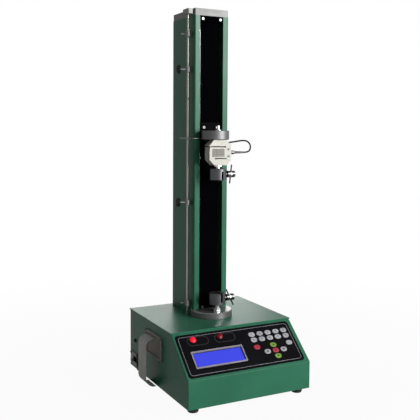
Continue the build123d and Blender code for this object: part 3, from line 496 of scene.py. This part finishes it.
def ring_mesh(name, outer, inner, thick, place):
    """A flat closed line between two outlines with as many points, with a little thickness."""
    count = len(outer)
    corners = [place @ Vector((p.x * MM, p.y * MM, h * MM)) for h in (0, thick) for p in (*outer, *inner)]
    faces = []
    for i in range(count):
        j = (i + 1) % count
        faces.append((2 * count + i, 2 * count + j, 3 * count + j, 3 * count + i))
        faces.append((j, i, count + i, count + j))
        faces.append((i, j, 2 * count + j, 2 * count + i))
        faces.append((count + j, count + i, 3 * count + i, 3 * count + j))
    mesh = bpy.data.meshes.new(name)
    mesh.from_pydata(corners, [], faces)
    return mesh


def slab_mesh(name, outline, thick, place):
    """A flat outline with a thickness."""
    count = len(outline)
    corners = [place @ Vector((p.x * MM, p.y * MM, h * MM)) for h in (0, thick) for p in outline]
    faces = [tuple(reversed(range(count))), tuple(range(count, 2 * count))]
    faces += [(i, (i + 1) % count, count + (i + 1) % count, count + i) for i in range(count)]
    mesh = bpy.data.meshes.new(name)
    mesh.from_pydata(corners, [], faces)
    return mesh


def line_round(name, width, height, radius, line, thick, place):
    """A closed printed line whose outside is a rounded rectangle."""
    return ring_mesh(
        name,
        rounded(width, height, radius),
        rounded(width - 2 * line, height - 2 * line, radius - line),
        thick,
        place,
    )


def character_mesh(letter, height, place):
    """A printed character, centred and facing out of the place it stands on."""
    text = bpy.data.curves.new("character", "FONT")
    text.body = letter
    text.size = height * MM / 0.7
    text.align_x, text.align_y = "CENTER", "CENTER"
    text.extrude = 0.03 * MM
    holder = bpy.data.objects.new("character", text)
    bpy.context.scene.collection.objects.link(holder)
    bpy.context.view_layer.update()
    mesh = bpy.data.meshes.new_from_object(holder.evaluated_get(bpy.context.evaluated_depsgraph_get()))
    bpy.data.objects.remove(holder)
    middle = sum((v.co for v in mesh.vertices), Vector()) / len(mesh.vertices)
    mesh.transform(place @ Matrix.Translation((0, -middle.y, 0.03 * MM)))
    return mesh


# Screw heads


class Tree:
    """A Geometry Nodes tree with named inputs."""

    def __init__(self, name):
        self.tree = bpy.data.node_groups.new(name, "GeometryNodeTree")
        self.names = {}
        self.socket("Geometry", "NodeSocketGeometry")
        self.tree.interface.new_socket("Geometry", in_out="OUTPUT", socket_type="NodeSocketGeometry")
        self.entry = self.tree.nodes.new("NodeGroupInput")
        self.exit = self.tree.nodes.new("NodeGroupOutput")

    def socket(self, name, kind, value=None):
        made = self.tree.interface.new_socket(name, in_out="INPUT", socket_type=kind)
        if value is not None:
            made.default_value = value
        self.names[name] = made.identifier

    def given(self, name):
        """The output of the group's own input of that name."""
        return next(o for o in self.entry.outputs if o.identifier == self.names[name])

    def node(self, kind, settings=None, inputs=None):
        made = self.tree.nodes.new(kind)
        for name, value in (settings or {}).items():
            setattr(made, name, value)
        for key, value in (inputs or {}).items():
            if isinstance(value, bpy.types.NodeSocket):
                self.tree.links.new(value, made.inputs[key])
            else:
                made.inputs[key].default_value = value
        return made

    def maths(self, operation, *values):
        return self.node("ShaderNodeMath", {"operation": operation}, dict(enumerate(values))).outputs[0]

    def lift(self, height):
        return self.node("ShaderNodeCombineXYZ", {}, {2: height}).outputs[0]


def screw_tree():
    """A chamfered head with a socket in it, set on every point and turned as the point says."""
    made = Tree("screw_heads")
    for name, value in (("Head Radius", 0.004), ("Head Height", 0.003), ("Socket Radius", 0.002)):
        made.socket(name, "NodeSocketFloat", value)
    made.socket("Socket Sides", "NodeSocketInt", 6)
    made.socket("Finish", "NodeSocketMaterial")
    radius, height = made.given("Head Radius"), made.given("Head Height")
    body_height = made.maths("MULTIPLY", height, 0.75)
    body = made.node(
        "GeometryNodeMeshCylinder", {}, {"Vertices": 28, "Radius": radius, "Depth": body_height}
    )
    crown = made.node(
        "GeometryNodeExtrudeMesh",
        {"mode": "FACES"},
        {
            "Mesh": body.outputs["Mesh"],
            "Selection": body.outputs["Top"],
            "Offset Scale": made.maths("MULTIPLY", height, 0.25),
        },
    )
    narrow = made.node(
        "GeometryNodeScaleElements",
        {},
        {"Geometry": crown.outputs["Mesh"], "Selection": crown.outputs["Top"], "Scale": 0.82},
    )
    raised = made.node(
        "GeometryNodeTransform",
        {},
        {"Geometry": narrow.outputs[0], "Translation": made.lift(made.maths("MULTIPLY", height, 0.375))},
    )
    tool = made.node(
        "GeometryNodeMeshCylinder",
        {},
        {
            "Vertices": made.given("Socket Sides"),
            "Radius": made.given("Socket Radius"),
            "Depth": made.maths("MULTIPLY", height, 1.1),
        },
    )
    sunk = made.node(
        "GeometryNodeTransform", {}, {"Geometry": tool.outputs["Mesh"], "Translation": made.lift(height)}
    )
    head = made.node(
        "GeometryNodeMeshBoolean",
        {"operation": "DIFFERENCE"},
        {"Mesh 1": raised.outputs[0], "Mesh 2": sunk.outputs[0]},
    )
    turn = made.node(
        "GeometryNodeInputNamedAttribute", {"data_type": "FLOAT_VECTOR"}, {"Name": "turn"}
    )
    rotation = made.node("FunctionNodeEulerToRotation", {}, {0: turn.outputs["Attribute"]})
    placed = made.node(
        "GeometryNodeInstanceOnPoints",
        {},
        {"Points": made.given("Geometry"), "Instance": head.outputs[0], "Rotation": rotation.outputs[0]},
    )
    real = made.node("GeometryNodeRealizeInstances", {}, {"Geometry": placed.outputs[0]})
    coloured = made.node(
        "GeometryNodeSetMaterial", {}, {"Geometry": real.outputs[0], "Material": made.given("Finish")}
    )
    made.tree.links.new(coloured.outputs[0], made.exit.inputs[0])
    return made


def screws(tree, name, body, places, facing, sizes, material, spin=0.6):
    """Screw heads at places on one body, all facing one way."""
    points = bpy.data.meshes.new(name)
    points.from_pydata([at(*place) for place in places], [], [])
    turns = points.attributes.new("turn", "FLOAT_VECTOR", "POINT")
    for index in range(len(places)):
        rotation = Vector(facing).to_track_quat("Z", "Y").to_matrix()
        rotation = rotation @ Matrix.Rotation(spin * (index + 1), 3, "Z")
        turns.data[index].vector = rotation.to_euler()
    holder = bpy.data.objects.new(name, points)
    bpy.context.scene.collection.objects.link(holder)
    modifier = holder.modifiers.new("screw_heads", "NODES")
    modifier.node_group = tree.tree
    for key, value in {**sizes, "Finish": material}.items():
        modifier[tree.names[key]] = value
    bpy.context.view_layer.update()
    mesh = bpy.data.meshes.new_from_object(holder.evaluated_get(bpy.context.evaluated_depsgraph_get()))
    holder.modifiers.remove(modifier)
    bpy.data.objects.remove(holder)
    bpy.data.meshes.remove(points)
    mesh.name = name
    return piece(name, mesh, body)


# What a user may change


class TesterLooks(PropertyGroup):
    paint: FloatVectorProperty(
        name="Paint", description="Enamel on the cabinet and the column",
        subtype="COLOR", min=0.0, max=1.0, default=linear(50, 110, 85),
    )
    film: FloatVectorProperty(
        name="Overlay", description="Film on the control face",
        subtype="COLOR", min=0.0, max=1.0, default=linear(6, 6, 9),
    )
    screen: FloatVectorProperty(
        name="Screen", description="Light of the screen",
        subtype="COLOR", min=0.0, max=1.0, default=linear(52, 62, 214),
    )
    lamp_lit: FloatVectorProperty(
        name="Lit lamp", description="Colour of the lamp that is on",
        subtype="COLOR", min=0.0, max=1.0, default=linear(235, 20, 45),
    )
    lamp_dark: FloatVectorProperty(
        name="Dark lamp", description="Colour of the lamp that is off",
        subtype="COLOR", min=0.0, max=1.0, default=linear(120, 8, 28),
    )
    key_grey: FloatVectorProperty(
        name="Grey keys", description="Number, enter, left and right keys",
        subtype="COLOR", min=0.0, max=1.0, default=linear(168, 168, 174),
    )
    key_red: FloatVectorProperty(
        name="Red keys", description="Set and stop keys",
        subtype="COLOR", min=0.0, max=1.0, default=linear(170, 15, 50),
    )
    key_green: FloatVectorProperty(
        name="Green keys", description="Up and down keys",
        subtype="COLOR", min=0.0, max=1.0, default=linear(110, 150, 30),
    )
    cell: FloatVectorProperty(
        name="Load cell", description="Enamel on the load cell",
        subtype="COLOR", min=0.0, max=1.0, default=linear(208, 206, 196),
    )
    cable_diameter: FloatProperty(
        name="Cable", description="Diameter of the load cell's cable",
        subtype="DISTANCE", unit="LENGTH", min=0.002, max=0.008, default=0.0045,
    )
    border_line: FloatProperty(
        name="Border line", description="Width of the line printed round the control face",
        subtype="DISTANCE", unit="LENGTH", min=0.0003, max=0.003, default=0.0010,
    )
    digit_height: FloatProperty(
        name="Digits", description="Height of the digits on the keys",
        subtype="DISTANCE", unit="LENGTH", min=0.002, max=0.009, default=0.0062,
    )
    screw_radius: FloatProperty(
        name="Screw heads", description="Radius of the bright screw heads",
        subtype="DISTANCE", unit="LENGTH", min=0.002, max=0.006, default=0.0042,
    )
    key_light: FloatProperty(
        name="Key light", description="Power of the main lamp, in watts",
        unit="POWER", min=0.0, max=500.0, default=95.0,
    )
    ambient: FloatProperty(
        name="Room light", description="Strength of the even light from all round",
        min=0.0, max=2.0, default=0.1,
    )
    shadow: BoolProperty(
        name="Shadow", description="Let the machine cast its shadow on the floor", default=True
    )


def looks():
    return bpy.context.scene.tester_looks


# Operators


# The photograph's camera: turns in degrees, place in the drawing's millimetres
CAMERA_YAW, CAMERA_PITCH, CAMERA_ROLL = 27.09, -3.76, 0.32
CAMERA_PLACE = (-905.88, -1518.29, 679.58)
CAMERA_LENS, CAMERA_SENSOR = 60.36, 36.0
CAMERA_SHIFT = (0.00495, -0.0734)


class TESTER_OT_camera(Operator):
    """Set up the camera at the photograph's place and angle"""

    bl_idname = "tester.camera"
    bl_label = "Camera"

    def execute(self, context):
        yaw, pitch, roll = (math.radians(a) for a in (CAMERA_YAW, CAMERA_PITCH, CAMERA_ROLL))
        forward = Vector(
            (math.sin(yaw) * math.cos(pitch), math.cos(yaw) * math.cos(pitch), math.sin(pitch))
        )
        level = Vector((math.cos(yaw), -math.sin(yaw), 0))
        upward = level.cross(forward)
        right = level * math.cos(roll) + upward * math.sin(roll)
        upward = upward * math.cos(roll) - level * math.sin(roll)
        camera = bpy.data.objects.new("camera", bpy.data.cameras.new("camera"))
        camera.data.sensor_width = CAMERA_SENSOR
        camera.data.lens = CAMERA_LENS
        camera.data.shift_x, camera.data.shift_y = CAMERA_SHIFT
        turn = Matrix((right, upward, -forward)).transposed()
        camera.matrix_world = Matrix.Translation(at(*CAMERA_PLACE)) @ turn.to_4x4()
        context.scene.collection.objects.link(camera)
        context.scene.camera = camera
        return {"FINISHED"}


# The cable leaves its strain relief to the right, loops forward and up, and ends in the plate.
CABLE_ROUTE = [
    (79.0, 192.0, 626.0),
    (94.5, 192.0, 626.0),
    (105.2, 196.0, 635.0),
    (106.4, 199.5, 648.5),
    (97.5, 203.0, 658.0),
    (83.0, 206.5, 659.0),
    (66.0, 210.0, 656.0),
    (49.5, 214.5, 653.5),
    (34.5, 221.0, 652.2),
    (26.0, 229.5, 651.4),
    (26.0, 240.5, 651.4),
]


class TESTER_OT_cable(Operator):
    """Run the load cell's cable in its free loop"""

    bl_idname = "tester.cable"
    bl_label = "Cable"

    def execute(self, context):
        curve = bpy.data.curves.new("cell_cable", "CURVE")
        curve.dimensions = "3D"
        spline = curve.splines.new("NURBS")
        spline.points.add(len(CABLE_ROUTE) - 1)
        for point, place in zip(spline.points, CABLE_ROUTE):
            point.co = (*at(*place), 1.0)
        spline.order_u = 3
        spline.use_endpoint_u = True
        spline.resolution_u = 12
        curve.bevel_depth = looks().cable_diameter / 2
        curve.bevel_resolution = 5
        curve.use_fill_caps = True
        curve.materials.append(moulded("cable_sheath", linear(9, 9, 9), 0.45, 0.1))
        cable = bpy.data.objects.new("cell_cable", curve)
        context.scene.collection.objects.link(cable)
        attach(cable, "crosshead")
        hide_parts("load_cell_cable")
        return {"FINISHED"}


# Places that the finishes follow, in the drawing's millimetres
LAMPS_MIDDLE = (-88.0, 0.0, 0.0)
INLET_PINS = ((-178.0, 341.0, 19.5), (-160.0, 362.0, 32.5))
LIMIT_ROD_AXIS = (-61.0, 258.5, 0.0)
FOOT_DISC_CENTRE = (0.0, 227.0, 166.0)
CROSSHEAD_DISC_CENTRE = (0.0, 208.5, 661.0)
LEAD_SCREW_AXIS = (0.0, 315.0, 0.0)
MOTOR_AXIS = (95.0, 315.0, 0.0)
CELL_SIDE_X = 34.05
GLAND_END_X = 50.0
CLAMP_MIDDLES = {"upper_clamp_screw": (39.5, 192.0, 566.0), "lower_clamp_screw": (39.5, 192.0, 220.0)}

# Radii and lengths in the scene's metres
STUD_REACH = 0.0199
SCREW_LEAD = 0.005
SCREW_RIM = 0.0105
WAIST_HALF = 0.0033
WAIST_RADIUS = 0.0073


def set_finish(material, *names):
    """Gives CAD nodes a material."""
    for name in names:
        mesh = NODES[name].data
        mesh.materials.clear()
        mesh.materials.append(material)


class TESTER_OT_finishes(Operator):
    """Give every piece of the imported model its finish"""

    bl_idname = "tester.finishes"
    bl_label = "Finishes"

    def execute(self, context):
        look = looks()
        steel = linear(150, 150, 150)
        black = linear(24, 24, 26)
        set_finish(enamel("green_enamel", look.paint), "cabinet_shell", "top_plate", "column_housing")
        set_finish(moulded("foot_rubber", linear(20, 20, 20), 0.6, 0.2), "rubber_feet")
        set_finish(overlay_film("black_film", look.film), "control_overlay")
        set_finish(moulded("bezel_grey", linear(150, 146, 158), 0.4, 0.3), "lcd_module")
        lamps = lenses("red_lens", look.lamp_lit, look.lamp_dark, at(*LAMPS_MIDDLE))
        set_finish(lamps, "indicator_lamps")
        set_finish(moulded("printer_case", linear(145, 141, 130), 0.5, 0.15), "panel_printer")
        set_finish(thermal_paper("roll_paper", linear(248, 247, 241)), "printer_paper")
        pins = (at(*corner) for corner in INLET_PINS)
        set_finish(inlet_finish("inlet_black", black, steel, *pins), "power_inlet")
        set_finish(moulded("rocker_black", linear(18, 18, 18), 0.35, 0.4), "power_rocker")
        knob = knob_finish("knob_black", linear(8, 8, 9), steel, at(*LIMIT_ROD_AXIS), STUD_REACH)
        set_finish(knob, "upper_stop_knob", "lower_stop_knob")
        set_finish(brushed("cap_aluminium", linear(92, 92, 91), "x", 0.6, 0.1), "column_cap")
        set_finish(enamel("pan_zinc", linear(120, 124, 124), 0.4, 0.4), "base_pan")
        foot = turned("foot_disc_turned", linear(100, 100, 100), at(*FOOT_DISC_CENTRE), 0.36, 0.6)
        set_finish(foot, "foot_disc")
        # The crosshead disc's steel is darkened to stand for the dark room it reflects: painted reflection.
        disc = turned("crosshead_disc_dark_reflection", linear(76, 76, 76), at(*CROSSHEAD_DISC_CENTRE), 0.5, 0.6)
        set_finish(disc, "crosshead_disc")
        set_finish(enamel("cover_black", linear(5, 5, 7), 0.6, 0.0), "dust_cover")
        set_finish(enamel("plate_black", linear(10, 11, 11), 0.6, 0.004), "carriage", "bearing_block")
        set_finish(moulded("oxide_black", linear(22, 22, 24), 0.4, 0.5), "striker")
        # The limit rod's plate is darkened to stand for the dark surroundings it reflects: painted
        # reflection.
        set_finish(plated("limit_rod_dark_reflection", linear(122, 120, 114), 0.3), "limit_rod")
        # The guide rods are made dark grey to stand for the shade inside the column's slot: painted shade.
        set_finish(brushed("guide_rod_painted_shade", linear(60, 60, 60), "z", 0.5), "guide_rods")
        set_finish(
            brushed("guide_steel", linear(108, 108, 107), "z", 0.6, 0.2),
            "rod_guides",
            "upper_stop_collar",
            "lower_stop_collar",
        )
        set_finish(
            brushed("bright_steel", steel, "z", 0.25),
            "cell_studs",
            "lower_grip_stud",
            "upper_clamp_pad",
            "lower_clamp_pad",
        )
        # The grips' chrome has a dark base that stands for the dark room it reflects: painted reflection.
        set_finish(plated("grip_chrome_dark_reflection", linear(70, 70, 72), 0.38), "upper_grip_body", "lower_grip_body")
        screw_axis = at(*LEAD_SCREW_AXIS)
        thread = threaded_screw("lead_screw_steel", steel, screw_axis, SCREW_LEAD, SCREW_RIM)
        set_finish(thread, "lead_screw")
        set_finish(turned("motor_pulley_turned", steel, at(*MOTOR_AXIS), 0.35), "motor_pulley")
        set_finish(turned("nut_bronze", linear(190, 150, 95), screw_axis, 0.35), "drive_nut")
        set_finish(moulded("belt_rubber", linear(22, 22, 22), 0.6, 0.2), "drive_belt")
        set_finish(enamel("motor_enamel", linear(60, 62, 66), 0.4, 0.3), "drive_motor")
        set_finish(circuit_board("circuit_board", linear(30, 110, 70)), "control_board")
        set_finish(moulded("switch_black", linear(24, 24, 24), 0.5, 0.3), "limit_switches")
        side, end = at(CELL_SIDE_X, 0, 0).x, at(GLAND_END_X, 0, 0).x
        cream = cell_finish("cell_cream", look.cell, linear(62, 62, 64), linear(48, 48, 50), side, end)
        set_finish(cream, "load_cell")
        for name, middle in CLAMP_MIDDLES.items():
            clamp = clamp_finish(f"{name}_black", black, steel, at(*middle), WAIST_HALF, WAIST_RADIUS)
            set_finish(clamp, name)
        grey, red, green = (
            moulded("key_grey", look.key_grey, 0.42, 0.3),
            moulded("key_red", look.key_red, 0.42, 0.3),
            moulded("key_green", look.key_green, 0.42, 0.3),
        )
        for name in NODES:
            if name.startswith("number_key") or name in ("enter_key", "left_key", "right_key"):
                set_finish(grey, name)
        set_finish(red, "set_key", "stop_key")
        set_finish(green, "up_key", "down_key")
        set_finish(moulded("spare_sheath", linear(22, 22, 22)), "load_cell_cable")
        return {"FINISHED"}


# The control face, in millimetres across and up the slope
OVERLAY_MIDDLE = (-3.0, 69.0)
BORDER = (329.0, 111.0, 8.0)
LAMP_OUTLINES = {"left": (-114.3, 108.5), "right": (-35.3, 107.5)}
LAMP_OUTLINE_SIZE = (60.0, 25.0)
SCREEN_MIDDLE = (-72.5, 54.5)
SCREEN_WINDOW = (141.7, 41.7)
SCREEN_LIT = (138.0, 37.6)
SCREEN_FACE = -0.8


class TESTER_OT_control_face(Operator):
    """Print the lines on the control face and light its screen"""

    bl_idname = "tester.control_face"
    bl_label = "Control face"

    def execute(self, context):
        look = looks()
        line = look.border_line / MM
        pale = print_ink_and_painted_shadow("pale_ink", linear(150, 152, 158))
        dim = print_ink_and_painted_shadow("dim_ink", linear(62, 62, 68))
        border = line_round("border_line", *BORDER, line, 0.04, on_slope(*OVERLAY_MIDDLE))
        piece("border_line", border, "frame", pale)
        for side, middle in LAMP_OUTLINES.items():
            width, height = LAMP_OUTLINE_SIZE
            outline = line_round(
                f"lamp_outline_{side}", width, height, height / 2 - 0.5, 0.8 * line, 0.04, on_slope(*middle)
            )
            piece(f"lamp_outline_{side}", outline, "frame", dim)
        face = on_slope(*SCREEN_MIDDLE, SCREEN_FACE)
        # A black ring round the lit pane stands for the shadow that the bezel's inner wall casts on the
        # screen: painted shadow.
        shadow_ring = ring_mesh(
            "screen_shadow_ring", rounded(*SCREEN_WINDOW, 0.4), rounded(*SCREEN_LIT, 0.4), 0.5, face
        )
        black = print_ink_and_painted_shadow("painted_bezel_shadow", linear(9, 9, 16))
        piece("screen_shadow_ring", shadow_ring, "frame", black)
        pane = slab_mesh("screen_pane", rounded(*SCREEN_LIT, 0.4), 0.3, face)
        lit = lit_screen(
            "screen_blue", look.screen, face.translation, SCREEN_LIT[0] * MM, SCREEN_LIT[1] * MM
        )
        piece("screen_pane", pane, "frame", lit)
        return {"FINISHED"}


KEY_COLUMNS = [43.5 + 25.0 * column for column in range(5)]
KEY_ROWS = [103.8, 86.8]
CLUSTER_ROWS = [64.5, 47.5, 30.5]
ARROWS = {
    "up_key": (KEY_COLUMNS[2], CLUSTER_ROWS[0], 0),
    "down_key": (KEY_COLUMNS[2], CLUSTER_ROWS[2], 180),
    "left_key": (KEY_COLUMNS[1], CLUSTER_ROWS[1], 90),
    "right_key": (KEY_COLUMNS[3], CLUSTER_ROWS[1], -90),
}
STOP_MARK = (KEY_COLUMNS[2], CLUSTER_ROWS[1])
INK_THICK = 0.06


class TESTER_OT_key_marks(Operator):
    """Print digits and arrows on the keys"""

    bl_idname = "tester.key_marks"
    bl_label = "Key marks"

    def execute(self, context):
        ink = print_ink_and_painted_shadow("key_ink", linear(40, 40, 46))
        digits = "1234567890"
        for index, digit in enumerate(digits):
            x, v = KEY_COLUMNS[index % 5], KEY_ROWS[index // 5]
            mesh = character_mesh(digit, looks().digit_height / MM, on_slope(x, v, KEY_FACE))
            piece(f"digit_{digit}", mesh, f"number_key_{index + 1}", ink)
        arrow = [Vector((3.6, -2.4)), Vector((0.0, 3.2)), Vector((-3.6, -2.4))]
        for key, (x, v, turn) in ARROWS.items():
            place = on_slope(x, v, KEY_FACE) @ Matrix.Rotation(math.radians(turn), 4, "Z")
            piece(f"arrow_{key}", slab_mesh(key, arrow, INK_THICK, place), key, ink)
        square = slab_mesh("stop_mark", rounded(5.4, 5.4, 0.4), INK_THICK, on_slope(*STOP_MARK, KEY_FACE))
        piece("stop_mark", square, "stop_key", ink)
        return {"FINISHED"}


# Screw groups: piece, body, slot, size, finish, facing and places in the drawing's millimetres
FRONT, LEFT, REAR = (0, -1, 0), (-1, 0, 0), (0, 1, 0)
SCREW_GROUPS = (
    ("cover_screws", "frame", "bright_steel", "large", "bright", FRONT,
     ((-27.0, 237.0, 993.5), (27.0, 237.0, 993.5), (-24.0, 237.0, 188.5), (24.0, 237.0, 188.5))),
    ("plate_screws", "crosshead", "bright_steel", "large", "bright", FRONT,
     ((-20.5, 240.5, 695.0), (20.5, 240.5, 695.0))),
    ("plate_pins", "crosshead", "bright_steel", "small", "bright", FRONT,
     ((-12.2, 240.5, 657.0), (12.2, 240.5, 657.0))),
    ("cell_screws", "crosshead", "black_metal", "small", "dark", FRONT,
     ((25.0, 178.0, 616.0), (25.0, 178.0, 635.0))),
    ("printer_screws", "frame", "black_metal", "small", "dark", LEFT,
     tuple((-184.0, y, z) for y in (164.0, 268.0) for z in (76.0, 135.0))),
    ("inlet_screws", "frame", "black_metal", "small", "dark", LEFT,
     ((-182.5, 342.0, 40.0), (-182.5, 384.0, 40.0))),
    ("column_screws", "frame", "bright_steel", "large", "bright", REAR,
     tuple((x, 380.0, z) for x in (-40.0, 40.0) for z in (200.0, 460.0, 720.0, 980.0))),
)


class TESTER_OT_screws(Operator):
    """Set the screw heads on the column, the crosshead and the cabinet"""

    bl_idname = "tester.screws"
    bl_label = "Screw heads"

    def execute(self, context):
        tree = screw_tree()
        finishes = {
            "bright": plated("screw_bright", linear(84, 84, 83), 0.45),
            "dark": moulded("screw_black", linear(26, 26, 28), 0.35, 0.5),
        }
        radius = looks().screw_radius
        sizes = {
            "large": {"Head Radius": radius, "Head Height": 0.0032, "Socket Radius": 0.002},
            "small": {"Head Radius": 0.0026, "Head Height": 0.002, "Socket Radius": 0.0013},
        }
        for name, body, slot, size, finish, facing, places in SCREW_GROUPS:
            screws(tree, name, body, places, facing, sizes[size], finishes[finish])
        return {"FINISHED"}


class TESTER_OT_cell_plate(Operator):
    """Fix the bare ruled plate on the front of the load cell"""

    bl_idname = "tester.cell_plate"
    bl_label = "Cell plate"

    def execute(self, context):
        middle = at(-6.5, 178.0, 625.5)
        place = Matrix.Translation(middle) @ Matrix.Rotation(math.radians(90), 4, "X")
        mesh = slab_mesh("cell_plate", rounded(37.0, 21.5, 1.0), 0.5, place)
        finish = ruled_plate("plate_metal", linear(150, 148, 140), linear(70, 68, 66), middle, 0.0045)
        piece("cell_plate", mesh, "crosshead", finish)
        return {"FINISHED"}


FLOOR_RADIUS = 9.0
FLOOR_GREY = 0.45
SHADOW_REACH = 1.6
SHADOW_SHARE = 0.05

# Lamps: place, aim, width and power as a share of the key light's
LAMPS = {
    "key_light": ((1.5, -2.5, 1.0), (0.0, 0.0, 0.55), 1.4, 1.0),
    "back_light": ((0.9, 2.7, 0.9), (0.0, 0.1, 0.5), 1.6, 0.3),
    "glint_light": ((1.12, -2.1, 1.4), (0.0, 0.0, 0.9), 0.4, 2.0),
}


def floor_finish(shadow):
    """White to the camera and in reflections, with the machine's shadow near it."""
    made = Finish("floor_white")
    x, y, z = made.axes(made.place())
    far = made.spread(made.maths("SQRT", x * x + y * y), 0.0, 1.0, 0.35, SHADOW_REACH)
    path = made.node("ShaderNodeLightPath", out="Is Camera Ray").socket.node
    seen = Amount(made, path.outputs["Is Camera Ray"]) + Amount(made, path.outputs["Is Glossy Ray"])
    seen = made.maths("MINIMUM", seen + Amount(made, path.outputs["Is Transmission Ray"]), 1.0)
    grey = (FLOOR_GREY, FLOOR_GREY, FLOOR_GREY, 1.0)
    plain = made.surface(Base_Color=grey, Roughness=0.9, Specular_IOR_Level=0.0)
    glow = made.node("ShaderNodeEmission", {}, {"Color": (1.0, 1.0, 1.0, 1.0), "Strength": 1.0})
    share = 1.0 - SHADOW_SHARE if shadow else 1.0
    return made.done(made.mix(seen * (far * (1.0 - share) + share), plain, glow))


def area_light(name, place, aim, width, power):
    """A square lamp at a place, facing its aim."""
    lamp = bpy.data.lights.new(name, "AREA")
    lamp.shape = "SQUARE"
    lamp.size = width
    lamp.energy = power
    made = bpy.data.objects.new(name, lamp)
    made.matrix_world = Matrix.Translation(place) @ (
        (Vector(place) - Vector(aim)).to_track_quat("Z", "Y").to_matrix().to_4x4()
    )
    bpy.context.scene.collection.objects.link(made)
    return made


class TESTER_OT_stage(Operator):
    """Lay the white floor and set the studio lights"""

    bl_idname = "tester.stage"
    bl_label = "Stage"

    def execute(self, context):
        look = looks()
        edge = [
            Vector((math.cos(turn), math.sin(turn), 0)) * FLOOR_RADIUS
            for turn in (math.tau * step / 64 for step in range(64))
        ]
        mesh = bpy.data.meshes.new("floor")
        mesh.from_pydata(edge, [], [tuple(range(len(edge)))])
        mesh.materials.append(floor_finish(look.shadow))
        floor = bpy.data.objects.new("floor", mesh)
        context.scene.collection.objects.link(floor)
        world = bpy.data.worlds.new("studio")
        context.scene.world = world
        world.use_nodes = True
        tree = world.node_tree
        tree.nodes.clear()
        path = tree.nodes.new("ShaderNodeLightPath")
        seen = tree.nodes.new("ShaderNodeMath")
        seen.operation = "ADD"
        tree.links.new(path.outputs["Is Camera Ray"], seen.inputs[0])
        tree.links.new(path.outputs["Is Glossy Ray"], seen.inputs[1])
        clear = tree.nodes.new("ShaderNodeMath")
        clear.operation = "ADD"
        clear.use_clamp = True
        tree.links.new(seen.outputs[0], clear.inputs[0])
        tree.links.new(path.outputs["Is Transmission Ray"], clear.inputs[1])
        dim, white = (tree.nodes.new("ShaderNodeBackground") for _ in range(2))
        dim.inputs["Strength"].default_value = look.ambient
        for background in (dim, white):
            background.inputs["Color"].default_value = (1.0, 1.0, 1.0, 1.0)
        mix = tree.nodes.new("ShaderNodeMixShader")
        tree.links.new(clear.outputs[0], mix.inputs[0])
        tree.links.new(dim.outputs[0], mix.inputs[1])
        tree.links.new(white.outputs[0], mix.inputs[2])
        output = tree.nodes.new("ShaderNodeOutputWorld")
        tree.links.new(mix.outputs[0], output.inputs["Surface"])
        lamps = {
            name: area_light(name, place, aim, width, look.key_light * share)
            for name, (place, aim, width, share) in LAMPS.items()
        }
        lamps["glint_light"].visible_diffuse = False
        context.scene.view_settings.view_transform = "Standard"
        return {"FINISHED"}


class TESTER_PT_panel(Panel):
    """The machine's sizes, colours and steps"""

    bl_label = "Bench Testing Machine"
    bl_idname = "TESTER_PT_panel"
    bl_space_type = "VIEW_3D"
    bl_region_type = "UI"
    bl_category = "Tester"

    def draw(self, context):
        for name in TesterLooks.__annotations__:
            self.layout.prop(context.scene.tester_looks, name)
        for step in STEPS:
            self.layout.operator(step.bl_idname)


STEPS = (
    TESTER_OT_camera,
    TESTER_OT_cable,
    TESTER_OT_finishes,
    TESTER_OT_control_face,
    TESTER_OT_key_marks,
    TESTER_OT_screws,
    TESTER_OT_cell_plate,
    TESTER_OT_stage,
)
CLASSES = (TesterLooks, *STEPS, TESTER_PT_panel)


def register():
    for made in CLASSES:
        bpy.utils.register_class(made)
    bpy.types.Scene.tester_looks = PointerProperty(type=TesterLooks)


def unregister():
    del bpy.types.Scene.tester_looks
    for made in reversed(CLASSES):
        bpy.utils.unregister_class(made)


def main():
    register()
    bpy.ops.tester.camera()
    bpy.ops.tester.cable()
    bpy.ops.tester.finishes()
    bpy.ops.tester.control_face()
    bpy.ops.tester.key_marks()
    bpy.ops.tester.screws()
    bpy.ops.tester.cell_plate()
    bpy.ops.tester.stage()


if __name__ == "__main__":
    main()
